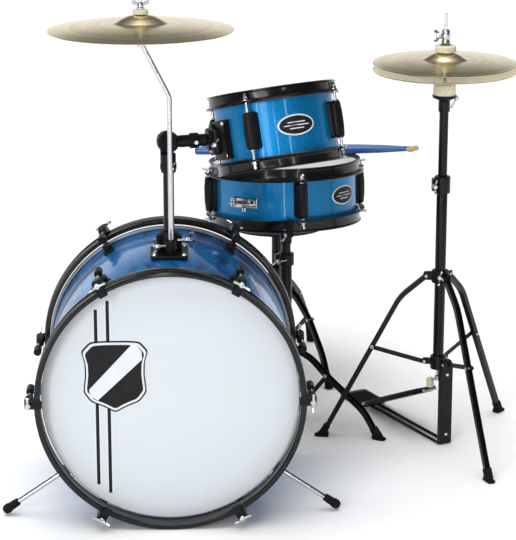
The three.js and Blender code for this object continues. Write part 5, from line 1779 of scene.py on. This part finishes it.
class KIT_OT_pedal(bpy.types.Operator):
    """Details the bass drum pedal: ribbed footboard, beater and spring"""
    bl_idname = "kit.pedal"
    bl_label = "Bass drum pedal"

    def execute(self, context):
        at = move(-48, 0, 0)
        frame_shape = Shape()
        frame_shape.block((76, 60, 5), (0, 384, 2.5), 0.8, 0, at, 6)
        frame_shape.block((18, 244, 4), (0, 478, 2), 0.6, 0, at, 2)
        frame_shape.block((60, 44, 7), (0, 582 - 4, 3.5), 1, 0, at, 6)
        for side in (-1, 1):
            outline = rounded([(-9, 2), (9, 2), (7, 120), (8, 146), (4, 152), (-4, 152), (-8, 146),
                               (-7, 120)], 4, 3,
                              closed=True)
            frame_shape.slab(outline, -4, 4, 1.2, 0,
                             at @ move(side * 34, 384, 0) @ turn(90, "Z") @ turn(90, "X"))
            frame_shape.rod(6.5, (side * 30.4, 384, 140), (side * 38.6, 384, 140), 1, at, 28)
            frame_shape.rod(3.4, (side * 22, 361, 4), (side * 22, 361, 8), 1, at, 18)
        frame_shape.rod(3, (36, 384, 34), (46, 384, 34), 1, at, 18)
        frame_shape.make("pedal_frame_cast", "bass_drum", ["cast_black", "steel"], "bracket_black",
                         ["pedal_frame"])
        coil = [(47 + 3.6 * math.cos(k * math.tau / 8), 384 + 3.6 * math.sin(k * math.tau / 8),
                 42 + k * 84 / 128)
                for k in range(129)]
        settle("pedal_spring", wire_mesh(coil, 0.8, 0.3, "steel", at, 8), "bass_drum")

        (hy, hz), (ty, tz) = (586, 14), (402, 62)
        slope = math.degrees(math.atan2(tz - hz, hy - ty))
        length = math.hypot(hy - ty, tz - hz)
        deck = at @ move(0, hy, hz) @ turn(-90, "Z") @ turn(-slope, "Y")
        board = Shape()
        board.slab(rounded([(0, -25), (length * 0.6, -27), (length, -16), (length, 16), (length * 0.6, 27),
                            (0, 25)],
                           8, 4, closed=True), -2, 2, 0.8, 0, deck)
        for k in range(15):
            board.block((4, 40 if k < 11 else 30, 1.6), (16 + k * 11, 0, 2.4), 0.6, 1, deck, 1.6)
        board.make("pedal_footboard_ribbed", "pedal_footboard", ["cast_black", "rubber"], "bracket_black",
                   ["pedal_footboard"])

        pivot = at @ move(0, 384, 140)
        beater = Shape().rod(5, (-29.4, 0, 0), (29.4, 0, 0), 0, pivot, 32)
        swing = pivot @ turn(-36, "X")
        beater.rod(3.2, (0, 0, 0), (0, 0, 92), 0, swing, 24)
        beater.turned([(0, -17), (14, -17), (16, -15), (16, 15), (14, 17), (0, 17)], 1,
                      swing @ move(0, 0, 96) @ LAY, 48)
        beater.block((12, 14, 12), (0, 0, 2), 1.4, 2, pivot, 3)
        beater.block((10, 9, 9), (12, 0, 0), 1, 2, pivot, 2)
        beater.make("pedal_beater_head", "pedal_beater", ["chrome", "beater_felt", "steel"], "chrome",
                    ["pedal_beater"])
        return {"FINISHED"}


class KIT_OT_sticks(bpy.types.Operator):
    """Lays the pair of painted sticks across the snare"""
    bl_idname = "kit.sticks"
    bl_label = "Drumsticks"

    def execute(self, context):
        length, r = 402, 7.2
        paint = [(0, 0), (r - 2, 0.6), (r - 0.6, 2.4), (r, 6), (r, length * 0.72), (r - 1.3, length * 0.84),
                 (3.7, length - 24), (3.1, length - 14), (0, length - 14)]
        tip = [(0, length - 15), (3, length - 15), (3.4, length - 12.6), (4.6, length - 9.6),
               (5, length - 6.4),
               (4.4, length - 2.8), (2.6, length - 0.7), (0, length)]
        for letter, offset, angle, reach in (("a", 56, -10, -162), ("b", 82, -11.5, -150)):
            at = SNARE_FRAME @ move(0, offset, SNARE["half"] + r + PLAY) @ turn(angle, "Z") @ move(reach, 0,
                                                                                                   0) @ turn(
                90, "Y")
            stick = Shape().turned(paint, 0, at, 40).turned(tip, 1, at, 32)
            stick.make(f"drumstick_{letter}_turned", f"drumstick_{letter}", ["stick_paint", "wood"],
                       "painted_stick",
                       [f"drumstick_{letter}"])
        return {"FINISHED"}


class KIT_PT_panel(bpy.types.Panel):
    bl_label = "Drum kit"
    bl_idname = "KIT_PT_panel"
    bl_space_type = "VIEW_3D"
    bl_region_type = "UI"
    bl_category = "Drum kit"

    def draw(self, context):
        for group in (context.scene.kit_sizes, context.scene.kit_colours):
            column = self.layout.column()
            for key in group.bl_rna.properties.keys():
                if key not in {"rna_type", "name"}:
                    column.prop(group, key)
        for step in STEPS:
            self.layout.operator(step.bl_idname)


STEPS = (
    KIT_OT_stage, KIT_OT_finishes, KIT_OT_bass_shell, KIT_OT_front_print, KIT_OT_bass_fittings, KIT_OT_spurs,
    KIT_OT_tom_mount, KIT_OT_tom, KIT_OT_snare, KIT_OT_crash, KIT_OT_snare_stand, KIT_OT_hi_hat,
    KIT_OT_throne,
    KIT_OT_pedal, KIT_OT_sticks,
)
CLASSES = (KitSizes, KitColours, *STEPS, KIT_PT_panel)


def register():
    for each in CLASSES:
        bpy.utils.register_class(each)
    bpy.types.Scene.kit_sizes = PointerProperty(type=KitSizes)
    bpy.types.Scene.kit_colours = PointerProperty(type=KitColours)


def unregister():
    del bpy.types.Scene.kit_colours
    del bpy.types.Scene.kit_sizes
    for each in reversed(CLASSES):
        bpy.utils.unregister_class(each)


def main():
    register()
    for step in STEPS:
        getattr(bpy.ops.kit, step.bl_idname.split(".")[1])()


if __name__ == "__main__":
    main()
